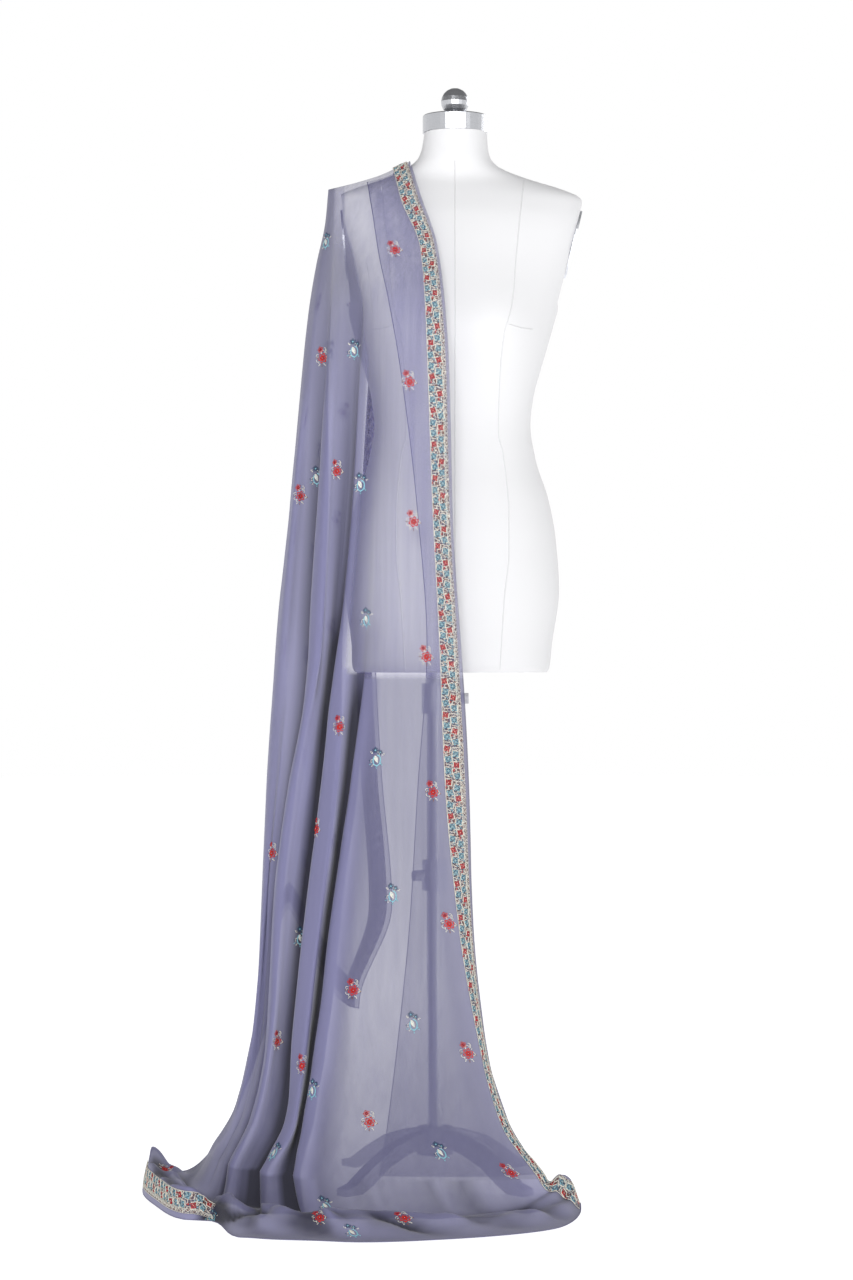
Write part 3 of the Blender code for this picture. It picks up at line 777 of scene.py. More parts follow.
def rippled(grid, depth_of_ripple):
    """Adds the small upright ripples that loose cloth has between its folds."""
    normals = normals_of(grid)
    moved = grid.copy()
    for r, row in enumerate(grid):
        for c, (x, y, z) in enumerate(row):
            away = min(max((1.47 - z) / 0.5, 0.0), 1.0)
            upright = noise.noise(Vector((x * 34, y * 34, z * 1.3)))
            fine = noise.noise(Vector((x * 85 + 7, y * 85, z * 3.1)))
            soft = noise.noise(Vector((x * 12, y * 12, z * 5.0 + 3)))
            amount = (upright * 0.9 + fine * 0.25 + soft * 0.5) * depth_of_ripple * away
            moved[r, c] += normals[r, c] * amount
    return moved


def pleated(grid, places):
    """Adds the small upright pleats of the gathered arm side."""
    height = grid[:, :, 2]
    gathered = smooth_step(places, *PLEATS_BEGIN) * (1 - smooth_step(places, *PLEATS_END))
    wander = 0.45 * np.sin(height * 2.6) + 0.25 * np.sin(height * 6.1 + 1.0)
    turn = 2 * math.pi * (places / 1.35 + wander)
    pleat = np.sin(turn) + 0.4 * np.sin(2 * turn + 0.6)
    deeper = smooth_step(1.5 - height, 0.12, 0.5) * (1 + 0.5 * smooth_step(1.5 - height, 0.5, 1.0))
    return grid + normals_of(grid) * (PLEAT_DEPTH * gathered * pleat * deeper)[:, :, None]


def stands_out(grid):
    """How far each point stands out from the cloth round it."""
    steps = np.arange(-RELIEF_REACH, RELIEF_REACH + 1)
    weights = np.exp(-0.5 * (steps / RELIEF_SPREAD) ** 2)
    weights /= weights.sum()
    padded = np.pad(grid, ((0, 0), (RELIEF_REACH, RELIEF_REACH), (0, 0)), "edge")
    count = grid.shape[1]
    even = sum(weight * padded[:, i : i + count] for i, weight in enumerate(weights))
    return ((grid - even) * normals_of(even)).sum(axis=2)


def hanging_painted_shade(grid, places):
    """The painted shade of the hanging cloth, 0 in a crease and 1 on a crest, where it is a painted
    highlight: the open panel shows little.
    """
    zones = zones_of(grid, places)
    height = grid[:, :, 2]
    open_cloth = zones["panel"] + zones["beside"]
    stands = stands_out(grid) * (1 - 0.75 * open_cloth) * (1 - 0.35 * smooth_step(height, 0.72, 0.86))
    stands = stands * (1 - 0.55 * smooth_step(height, 1.05, 1.22))
    # Painted shade: the gathered folds low down are darker still.
    stands = stands - 0.0022 * zones["folds"] * (1 - smooth_step(height, 0.55, 0.75))
    return np.clip(FLAT_CLOTH_SHADE + stands / FOLD_SHADE_DEPTH, 0, 1)


def trail_painted_shade(upper, trail):
    """The painted shade of the cloth on the floor, with a painted shadow under the folds that hang over it.
    """
    above = upper[-RELIEF_REACH:, : trail.shape[1]]
    stands = stands_out(np.concatenate([above, trail]))[len(above) :]
    tone = np.clip(FLAT_CLOTH_SHADE + stands / TRAIL_FOLD_SHADE_DEPTH, 0, 1)
    under = smooth_step(FRONT_PLACES, *SHADE_BEGINS) * (1 - smooth_step(FRONT_PLACES, *SHADE_ENDS))
    # Painted shadow under the hanging folds, fading out on the way over the floor, and a little painted
    # shade over all the trail.
    return np.clip(tone - 0.34 * under * (1 - smooth_step(way_out(trail), 0.35, 0.75)) - 0.06, 0, 1)


def way_out(trail):
    """Each row's share of the way out over the floor."""
    return np.linspace(0, 1, len(trail))[:, None]


def outside_form(grid, room):
    """Moves points that lie in the dress form out of it, upwards at the shoulder."""
    moved = grid.copy()
    heights = [row[0] for row in TORSO]
    sizes = [[row[column] * MM for row in TORSO] for column in range(1, 5)]
    for point in moved.reshape(-1, 3):
        if not TORSO[0][0] < point[2] < TORSO[-1][0]:
            continue
        for _ in range(MOST_LIFTS):
            middle, half_width, front, back = (float(np.interp(point[2], heights, size)) for size in sizes)
            across = abs(point[0] - middle) / (half_width + room)
            fore = abs(point[1]) / ((front if point[1] < 0 else back) + room)
            inside = (across**TORSO_POWER + fore**TORSO_POWER) ** (1 / TORSO_POWER)
            if inside >= 1:
                break
            if point[2] > SHOULDER_TOP:
                point[2] += LIFT_STEP
            else:
                point[:2] = (middle, 0.0) + (point[:2] - (middle, 0.0)) / max(inside, 0.5)
    return moved


def trail_rows(start):
    """From the foot of the front fall, down onto the floor and out to the end of the stole."""
    ends = across_lines([(row[5] * MM, row[6] * MM, 0.0) for row in FRONT_LINES], FRONT_PLACES)
    rolls = through(range(len(FRONT_LINES)), [row[7] * MM for row in FRONT_LINES], FRONT_PLACES)
    lengths = np.linalg.norm((ends - start)[:, :2], axis=1)
    foot = np.clip(FOOT_LENGTH / lengths, 0, 0.8)
    standing = smooth_step(FRONT_PLACES, *STANDING_BEGINS)
    tail = STANDING_END / lengths
    tilted = TILTED_BORDER * (1 - smooth_step(FRONT_PLACES, *TILT_ENDS))
    rows = []
    for share in np.linspace(0, 1, TRAIL_ROWS + 1)[1:]:
        steep = np.where(share < 1 - tail, share * (1 - 0.3 * tail) / (1 - tail), 1 - 0.3 * (1 - share))
        row = start + (ends - start) * (share + (steep - share) * standing)[:, None]
        drop = (1 - np.minimum(share / foot, 1)) ** 2
        rise = np.sin(math.pi * np.clip((share - 0.15) / 0.85, 0, 1)) ** 2
        wave = np.sin(math.pi * (2.5 * share + 0.25 * FRONT_PLACES)) ** 2
        height = (start[:, 2] - LAID_HEIGHT) * drop + rolls * rise * (0.40 + 0.60 * wave)
        height += tilted * smooth_step(share, 0.05, 0.45) * (1 - 0.85 * smooth_step(share, 0.72, 1.0))
        upright = STANDING_END * 0.93 * np.minimum((1 - share) / tail, smooth_step(share, 0.45, 1 - tail))
        height = height * (1 - standing * smooth_step(share, 0.45, 1 - tail)) + upright * standing
        for c, (x, y, _) in enumerate(row):
            along, out = x * 0.94 - y * 0.34, x * 0.34 + y * 0.94
            crumple = 1.2 * abs(noise.noise(Vector((along * 3.2, out * 15, 1.7))))
            crumple += 0.25 * noise.noise(Vector((x * 26, y * 26, 5.0)))
            room = float(rise) * min(1.0, float(lengths[c]) / 0.1)
            height[c] += max(crumple, 0.0) * CRUMPLE_HEIGHT * room
        row[:, 2] = LAID_HEIGHT + height
        rows.append(row)
    return np.array(rows)


def turned_columns(level_rows, fold):
    """The turned-under layer: for each row, points from just behind the fold to its free edge."""
    share = np.linspace(0, 1, TURNED_COLUMNS + 1)[1:]
    edge_at_ridge = fall("edge", RIDGE_LEVEL)
    at_ridge = edge_at_ridge + (fall("turned", RIDGE_LEVEL) - edge_at_ridge) * share
    rows = []
    for level, edge in zip(level_rows, fold):
        inner = float(fall("turned", level))
        outer = edge[0] - TURNED_INSET
        x = outer - (outer - inner) * share**1.3
        under = 0.0035 + 0.0062 * np.sin(np.clip(share / 0.2, 0, 1) * math.pi / 2)
        back = float(turned_back(level)) * (1 - np.clip(share / 0.4, 0, 1) * 0.6)
        above = float(smooth_step(level, 1.38, RIDGE_LEVEL))
        y = -section_depth("front", x, level) + (under + back) * (1 - above * 0.5)
        rows.append(np.stack([x, y, height_of(at_ridge, level) - 0.003 * above], axis=-1))
    return np.array(rows)


@functools.lru_cache(maxsize=None)
def stole_shape():
    """The stole's grids: upper part (all round), floor trail and turned-under layer."""
    places = np.concatenate([FRONT_PLACES, BACK_PLACES[1:]])
    drops = np.linspace(0, 1, SHOULDER_ROWS) ** 2 * (RIDGE_LEVEL - SHOULDER_LEVEL)
    top = [[RIDGE_LEVEL - drop] * LINE_COUNT for drop in drops]
    low = [falling_levels(share) for share in np.linspace(0, 1, FALL_ROWS + 1)[1:]]
    levels = np.array(top + low)
    loose = rippled(sheet_grid(places, levels), bpy.context.scene.stole.ripple)
    upper = outside_form(pleated(loose, places), CLOTH_ROOM)
    trail = trail_rows(upper[-1, : len(FRONT_PLACES)])
    turned = outside_form(turned_columns(levels[:, 0], upper[:, 0]), TURNED_ROOM)
    return {"upper": upper, "trail": trail, "turned": turned, "places": places}


def cover_of(grid, zones):
    """How much one layer hides at each point of a grid, blended between zones of the cloth."""
    heights = [row[0] for row in COVER]
    found = np.zeros(grid.shape[:2])
    for name, weight in zones.items():
        column = [row[1 + ZONES.index(name)] / 100 for row in COVER]
        found += np.interp(grid[:, :, 2], heights, column) * weight
    return found


def zones_of(grid, places):
    """The share of each zone: the open panel is wider over the form, and widest at the shoulder."""
    height = grid[:, :, 2]
    first = 4.3 + 4.4 * smooth_step(height, *TONE_CHANGE) + 2.4 * smooth_step(height, 1.20, 1.34)
    gathered = smooth_step(places, first, first + 0.65)
    outer = smooth_step(places, *ARM_SIDE_BEGINS)
    behind = smooth_step(places, BEHIND, BEHIND + 2)
    beside = 1 - smooth_step(places, *BESIDE_ENDS)
    return {
        "beside": beside,
        "panel": (1 - gathered) * (1 - beside),
        "folds": gathered * (1 - outer),
        "flank": outer * (1 - behind),
        "back": behind,
    }


def covers(shape):
    """The cover of the stole's three grids."""
    upper, trail, turned = shape["upper"], shape["trail"], shape["turned"]
    trail_cover = cover_of(trail, zones_of(trail, FRONT_PLACES))
    return {
        "upper": cover_of(upper, zones_of(upper, shape["places"])),
        "trail": trail_cover + (0.95 - trail_cover) * smooth_step(way_out(trail), 0.05, 0.35),
        "turned": cover_of(turned, {"turned": 1.0}),
    }


# Places on the cloth


def quads(high, wide, first=0):
    """The faces between the points of a grid."""
    corners = [first + r * wide + c for r in range(high - 1) for c in range(wide - 1)]
    return [(p, p + wide, p + wide + 1, p + 1) for p in corners]


class Cloth:
    """A grid of cloth points that things can be laid on."""

    def __init__(self, grid):
        self.grid = grid
        self.normals = normals_of(grid)
        steps = np.linalg.norm(np.diff(self.grid, axis=1), axis=2)
        self.across = np.concatenate([np.zeros((len(self.grid), 1)), np.cumsum(steps, axis=1)], axis=1)
        middle = self.grid[:, self.grid.shape[1] // 2]
        down = np.linalg.norm(np.diff(middle, axis=0), axis=1)
        self.down = np.concatenate([[0.0], np.cumsum(down)])

    def read(self, rows, columns, height):
        """Points at fractional rows and columns, lifted off the cloth by a height."""
        high, wide = self.grid.shape[:2]
        rows = np.clip(rows, 0, high - 1.001)
        columns = np.clip(columns, 0, wide - 1.001)
        r, c = rows.astype(int), columns.astype(int)
        s, t = (rows - r)[..., None], (columns - c)[..., None]
        found = []
        for values in (self.grid, self.normals):
            upper = values[r, c] * (1 - t) + values[r, c + 1] * t
            lower = values[r + 1, c] * (1 - t) + values[r + 1, c + 1] * t
            found.append(upper * (1 - s) + lower * s)
        return found[0] + found[1] * np.asarray(height)[..., None]

    def along_ribbon(self, along, across, height):
        """Points of a ribbon: metres down its length, share of its width, height off it."""
        rows = np.interp(along, self.down, range(len(self.down)))
        return self.read(rows, np.asarray(across) * (self.grid.shape[1] - 1), height)

    def round_spot(self, row, column, right, up, height):
        """Points round one spot, measured along the cloth itself, over its folds."""
        across = self.across[int(row)]
        start = np.interp(column, range(len(across)), across)
        columns = np.interp(start + right, across, range(len(across)))
        r, c = min(int(row), len(self.grid) - 2), int(column)
        step = max(float(np.linalg.norm(self.grid[r + 1, c] - self.grid[r, c])), 1e-4)
        return self.read(row - np.asarray(up) / step, columns, height)

    def tree(self):
        points = [Vector(p) for p in self.grid.reshape(-1, 3)]
        return BVHTree.FromPolygons(points, quads(*self.grid.shape[:2]))


def spot_behind(pixel, cloths, trees):
    """The cloth, row and column that the photograph's view shows at a pixel."""
    right = (pixel[0] - PHOTO_WIDE / 2) / FOCAL_PIXELS
    up = (PHOTO_HIGH / 2 - pixel[1]) / FOCAL_PIXELS
    ray = Vector((right, 1.0, up))
    ray.normalize()
    best = None
    for cloth, tree in zip(cloths, trees):
        _, _, face, away = tree.ray_cast(CAMERA_PLACE, ray)
        if face is None or (best and away > best[3]):
            continue
        columns = cloth.grid.shape[1] - 1
        best = (cloth, face // columns + 0.5, face % columns + 0.5, away)
    return best


# Meshes and pieces


def mesh_of(name, points, faces, looks=None):
    """A mesh made round the pole and moved to the frame's own place."""
    mesh = bpy.data.meshes.new(name)
    mesh.from_pydata([tuple(p) for p in np.asarray(points)], [], faces)
    if looks is not None:
        mesh.polygons.foreach_set("material_index", np.asarray(looks, np.int32))
    mesh.transform(Matrix.Translation(POLE_PLACE))
    mesh.shade_smooth()
    mesh.update()
    return mesh


def linked(name, content):
    made = bpy.data.objects.new(name, content)
    bpy.context.scene.collection.objects.link(made)
    return made


def add_piece(name, mesh, materials):
    made = linked(name, mesh)
    for material in materials:
        mesh.materials.append(material)
    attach(made, "root")
    return made


def add_tube(name, runs, radius, material):
    """Round cords through runs of points."""
    curve = bpy.data.curves.new(name, "CURVE")
    curve.dimensions = "3D"
    curve.bevel_depth = radius
    curve.bevel_resolution = 1
    for points in runs:
        spline = curve.splines.new("POLY")
        spline.points.add(len(points) - 1)
        places = np.asarray(points) + np.asarray(POLE_PLACE)
        spline.points.foreach_set("co", np.c_[places, np.ones(len(places))].ravel())
    curve.materials.append(material)
    made = linked(name, curve)
    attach(made, "root")
    return made


# Embroidery


COLOURS = ("red", "pink", "blue", "teal", "cream", "brown")


class Stitching:
    """Flat embroidery: raised shapes in millimetres, each of one thread."""

    def __init__(self):
        self.points = []
        self.faces = []
        self.threads = []

    def add(self, points, faces, colour):
        first = len(self.points)
        self.points += [tuple(p) for p in points]
        self.faces += [tuple(first + i for i in face) for face in faces]
        self.threads += [COLOURS.index(colour)] * len(faces)

    def leaf(self, x, y, turn, length, width, colour, high=0.9, count=10):
        """A pointed oval of satin stitch that starts at x, y and points along its turn."""
        along = np.linspace(0, 1, count // 2 + 1)
        half = width / 2 * np.sin(math.pi * along**0.8)
        outline = list(zip(along * length, half)) + list(zip(along[-2:0:-1] * length, -half[-2:0:-1]))
        spine = [(0.3 * length, 0.0), (0.7 * length, 0.0)]
        cos, sin = math.cos(turn), math.sin(turn)
        placed = [(x + u * cos - v * sin, y + u * sin + v * cos) for u, v in outline + spine]
        heights = [0.12] * len(outline) + [high, high]
        points = [(px, py, h) for (px, py), h in zip(placed, heights)]
        total = len(outline)
        near, far = total, total + 1
        faces = []
        for i in range(total):
            j = (i + 1) % total
            middle = (outline[i][0] + outline[j][0]) / 2
            faces.append((i, j, near if middle < length / 2 else far))
        turns = [i for i in range(total) if abs(outline[i][0] - length / 2) < 0.01]
        faces += [(turns[0], far, near), (turns[1], near, far)] if len(turns) == 2 else []
        self.add(points, faces, colour)

    def dot(self, x, y, radius, colour, high=0.9, sides=7):
        angles = np.linspace(0, 2 * math.pi, sides, endpoint=False)
        rim = [(x + radius * math.cos(a), y + radius * math.sin(a), 0.12) for a in angles]
        faces = [(i, (i + 1) % sides, sides) for i in range(sides)]
        self.add(rim + [(x, y, high)], faces, colour)

    def stem(self, path, width, colour, high=0.6):
        """A raised line of stitches through points."""
        path = np.asarray(path, float)
        steps = np.gradient(path, axis=0)
        steps /= np.maximum(np.linalg.norm(steps, axis=1, keepdims=True), 1e-6)
        side = np.c_[-steps[:, 1], steps[:, 0]] * width / 2
        points = []
        for centre, away in zip(path, side):
            points += [(*(centre - away), 0.1), (*centre, high), (*(centre + away), 0.1)]
        faces = []
        for i in range(len(path) - 1):
            a, b = 3 * i, 3 * i + 3
            faces += [(a, b, b + 1, a + 1), (a + 1, b + 1, b + 2, a + 2)]
        self.add(points, faces, colour)

    def flower(self, x, y, size, petals, colour, eye, turn=0.0, high=1.1):
        for i in range(petals):
            angle = turn + 2 * math.pi * i / petals
            start = 0.12 * size
            wide = 2.1 * size / petals
            self.leaf(
                x + start * math.cos(angle), y + start * math.sin(angle), angle,
                size * 0.5 - start, wide, colour, high,
            )
        self.dot(x, y, size * 0.13, eye, high + 0.25)

    def curl(self, x, y, turn, size, colour, width=0.8, way=1):
        """A stem that bends over at its end."""
        steps = np.linspace(0, 1, 9)
        bend = turn + way * 2.6 * steps**1.6
        path = [(x, y)]
        for angle in bend[1:]:
            before_x, before_y = path[-1]
            step = size / 8
            path.append((before_x + step * math.cos(angle), before_y + step * math.sin(angle)))
        self.stem(path, width, colour)

    def laid(self, surface):
        """The pattern's points on a surface, given by a function of right, up and height."""
        right, up, high = (np.array(part) * MM for part in zip(*self.points))
        return surface(right, up, high)


def red_spray():
    """A red flower on a curling stem, with a small pink one above it."""
    made = Stitching()
    made.flower(1.0, -3.5, 16.5, 6, "red", "pink", 0.3)
    made.flower(1.0, -3.5, 8.5, 5, "red", "cream", 0.9, 1.6)
    made.flower(-4.0, 9.0, 10.5, 5, "red", "pink", 0.7)
    made.flower(-4.0, 9.0, 5.0, 5, "pink", "cream", 0.2, 1.4)
    made.leaf(-6.8, -2.5, 3.3, 4.5, 2.0, "brown")
    made.leaf(8.5, -4.5, -0.3, 4.5, 2.0, "brown")
    made.leaf(3.5, 5.5, 1.1, 5.0, 1.8, "cream")
    made.leaf(-2.5, -11.5, -2.2, 5.0, 1.9, "cream")
    made.leaf(4.0, -11.5, -0.9, 5.0, 1.9, "cream")
    made.leaf(0.5, -12.5, -1.5, 4.5, 2.0, "brown")
    made.curl(-1.5, 3.0, 1.9, 9.0, "cream", 0.7, -1)
    made.curl(4.0, 4.0, 0.6, 11.0, "cream", 0.7, 1)
    made.curl(8.0, -1.0, -0.5, 8.0, "cream", 0.7, -1)
    made.curl(-4.5, -8.5, -2.6, 8.0, "cream", 0.7, -1)
    made.curl(-6.5, 1.5, 2.6, 6.0, "cream", 0.7, 1)
    for i in range(6):
        turn = i * 1.047
        x = 1.0 + 7.4 * math.cos(0.8 + turn)
        y = -3.5 + 7.4 * math.sin(0.8 + turn)
        made.curl(x, y, 0.5 + turn, 4.5, "cream", 0.6)
    return made


def blue_spray():
    """A paisley drop between navy flowers and a turquoise loop."""
    made = Stitching()
    made.flower(-2.5, 10.0, 9.5, 5, "blue", "teal", 0.4)
    made.flower(4.5, 7.0, 8.0, 5, "blue", "teal", 1.0)
    made.leaf(-6.0, 5.0, 2.4, 5.0, 2.4, "cream")
    made.leaf(7.5, 3.0, 0.5, 4.5, 2.0, "cream")
    made.leaf(-3.0, 2.5, -1.15, 12.0, 5.2, "cream", 1.2, 12)
    made.leaf(-1.9, 1.0, -1.15, 8.5, 2.8, "teal", 1.7)
    loop = [(5.2 * math.cos(a) + 0.6, 7.6 * math.sin(a) - 4.6) for a in np.linspace(2.3, 7.9, 16)]
    made.stem(loop, 1.7, "teal", 0.9)
    made.leaf(5.5, -8.0, -0.9, 5.5, 2.4, "teal")
    made.leaf(-3.5, -10.0, -2.2, 5.0, 1.8, "cream")
    made.leaf(0.8, -12.2, -1.5, 5.0, 2.2, "teal")
    made.leaf(-7.0, -6.0, 2.9, 4.0, 2.0, "blue")
    made.leaf(-6.5, -9.5, 3.6, 4.0, 1.8, "teal")
    made.curl(2.5, 2.0, 0.9, 8.0, "cream", 0.8, 1)
    made.curl(-5.0, -3.0, 3.3, 7.0, "cream", 0.8, 1)
    return made


def border_flower(colour):
    """A squarish flower of the border, outlined in cream, with the small scrolls beside it."""
    made = Stitching()
    size = 8.2 if colour == "red" else 8.8
    eye = "pink" if colour == "red" else "blue"
    for i in range(4):
        made.leaf(0.0, 0.0, (i + 0.5) * math.pi / 2, size * 0.62, size * 0.46, colour, 1.1)
        made.leaf(0.0, 0.0, i * math.pi / 2, size * 0.42, size * 0.26, eye, 1.2)
    made.dot(0.0, 0.0, size * 0.11, "cream", 1.7)
    corner = size * 0.58
    made.stem([(-corner, -0.6 * corner), (-corner, corner), (0.2 * corner, 1.1 * corner)], 1.4, "cream", 1.3)
    made.stem([(corner, 0.7 * corner), (corner, -0.9 * corner), (0.1 * corner, -corner)], 1.3, "cream", 1.3)
    if colour == "red":
        made.leaf(2.6, -5.2, -1.1, 5.0, 2.8, "brown", 1.0)
        made.leaf(-2.4, -5.4, -2.0, 4.6, 2.6, "red", 1.0)
        made.stem([(0.0, -5.0), (0.2, -8.0), (1.4, -10.2)], 0.9, "cream", 1.2)
    else:
        made.leaf(-3.4, -5.6, 0.3, 5.2, 2.0, "blue", 1.0)
        made.leaf(2.2, -6.6, -0.5, 4.2, 2.0, "teal", 1.0)
        made.stem([(-4.6, -6.8), (-1.0, -7.6), (2.6, -9.2)], 0.9, "cream", 1.2)
    made.curl(6.2, 2.5, 1.0, 5.6, "cream", 0.8, -1)
    made.leaf(7.2, -1.0, 0.4, 3.2, 1.8, "brown", 0.9)
    return made


def joined(name, laid, materials):
    """One object from many laid patterns: (points, pattern) pairs."""
    points, faces, looks = [], [], []
    for found, pattern in laid:
        first = sum(len(part) for part in points)
        points.append(found)
        faces += [tuple(first + i for i in face) for face in pattern.faces]
        looks += pattern.threads
    return add_piece(name, mesh_of(name, np.concatenate(points), faces, looks), materials)


def thread_materials(settings):
    made = []
    for colour in COLOURS:
        material = bpy.data.materials.get(f"thread_{colour}")
        made.append(material or thread(colour, getattr(settings, colour)))
    return made


# Flowers that the photograph shows on the front, by pixel.
RED_SEEN = (
    (394, 248), (409, 379), (413, 521), (426, 655), (432, 790), (449, 921), (467, 1052),
    (512, 1172), (404, 1217), (339, 724), (321, 356), (336, 469), (299, 494), (317, 826),
    (271, 849), (352, 989), (276, 1041), (301, 1062), (370, 1121), (320, 1217), (167, 1168),
)
BLUE_SEEN = (
    (327, 238), (354, 349), (360, 482), (316, 477), (367, 618), (376, 757), (393, 895),
    (414, 1023), (438, 1150), (299, 937), (313, 1088), (327, 1205), (352, 1231), (275, 1150),
    (213, 1217),
)
CLOTH_NODES = (
    "cloth_shoulder", "cloth_front_fall", "cloth_side_fall", "cloth_back_fall",
    "cloth_floor_trail", "cloth_turned_edge",
)
BORDER_NODES = (
    "border_shoulder_front", "border_front", "border_floor_right", "border_shoulder_back",
    "border_back", "border_back_end", "border_floor_left",
)

# The cloth's columns under each run of the border, and the rows that the front run leaves free.
LONG_BORDER = slice(2, 11)
BACK_BORDER = slice(-16, -3)
BACK_END = slice(len(FRONT_PLACES) + 14, -4)
FLOOR_END = slice(-30, -3)
FREE_ROWS = 3

# The back fall's flowers, which the photograph doesn't show: grid columns and rows between them.
SPRAY_COLUMNS = 17
SPRAY_ROWS = 30


def end_band(grid, part):
    """The border across an end of the cloth: a strip at an even distance from its last row."""
    columns = np.arange(grid.shape[1])[part]
    steps = np.linalg.norm(np.diff(grid[:, columns], axis=0), axis=2)[::-1]
    away = np.concatenate([np.zeros((1, len(columns))), np.cumsum(steps, axis=0)])
    wanted = np.linspace(END_MARGIN, END_MARGIN + BORDER_WIDTH, BAND_COLUMNS)
    last = len(grid) - 1
    rows = [last - np.interp(wanted, away[:, i], range(len(grid))) for i in range(len(columns))]
    across = columns[:, None] + np.zeros(BAND_COLUMNS)
    return Cloth(grid).read(np.array(rows), across, np.zeros_like(across))


def border_ribbons(shape):
    """The border's runs: front and floor, back, back end, and the end on the floor."""
    upper, trail = shape["upper"], shape["trail"]
    front = np.concatenate([upper[:, LONG_BORDER], trail[:-FREE_ROWS, LONG_BORDER]])
    back = upper[:, BACK_BORDER]
    grids = (front, back, end_band(upper, BACK_END), end_band(trail, FLOOR_END))
    return [Cloth(grid) for grid in grids]


def sheet_mesh(shape):
    """The whole sheet: the turned-under layer, the hanging cloth and the trail as one surface."""
    trail = shape["trail"]
    hanging = np.concatenate([shape["turned"][:, ::-1], shape["upper"]], axis=1)
    high, wide = hanging.shape[:2]
    front = trail.shape[1]
    faces = quads(high, wide)
    start = high * wide
    above = [(high - 1) * wide + TURNED_COLUMNS + c for c in range(front)]
    for r in range(len(trail)):
        below = [start + r * front + c for c in range(front)]
        faces += [(above[c], below[c], below[c + 1], above[c + 1]) for c in range(front - 1)]
        above = below
    points = np.concatenate([hanging.reshape(-1, 3), trail.reshape(-1, 3)])
    return mesh_of("stole_sheet", points, faces)


def paint(mesh, name, turned, upper, trail):
    """Gives each point of the sheet a number, from the numbers of its three grids."""
    hanging = np.concatenate([turned[:, ::-1], upper], axis=1)
    layer = mesh.attributes.new(name, "FLOAT", "POINT")
    layer.data.foreach_set("value", np.concatenate([hanging.ravel(), trail.ravel()]).astype(np.float32))


class STOLE_OT_sheet(bpy.types.Operator):
    """Drape the sheer cloth over the form and onto the floor"""

    bl_idname = "stole.sheet"
    bl_label = "Drape the stole"

    def execute(self, context):
        settings = context.scene.stole
        shape = stole_shape()
        upper, trail, turned = shape["upper"], shape["trail"], shape["turned"]
        mesh = sheet_mesh(shape)
        hides = {name: found * settings.cover for name, found in covers(shape).items()}
        paint(mesh, "cover", **hides)
        # The cloth's colour takes painted shade in its creases and a painted highlight on its crests; the
        # turned-under layer keeps the flat tone.
        flat = np.full(turned.shape[:2], FLAT_CLOTH_SHADE)
        fold_shade_tone = hanging_painted_shade(upper, shape["places"])
        paint(mesh, "relief", flat, fold_shade_tone, trail_painted_shade(upper, trail))
        sheet = add_piece("stole_sheet", mesh, [chiffon(settings)])
        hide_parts(*CLOTH_NODES)
        back_hem = upper[-1, trail.shape[1] - 1 :]
        edges = [turned[:, -1], upper[:, -1], back_hem, trail[-1], trail[:, 0], trail[:, -1]]
        hems = add_tube("stole_hems", edges, settings.hem / 2, hem_cloth(settings))
        return {"FINISHED"}


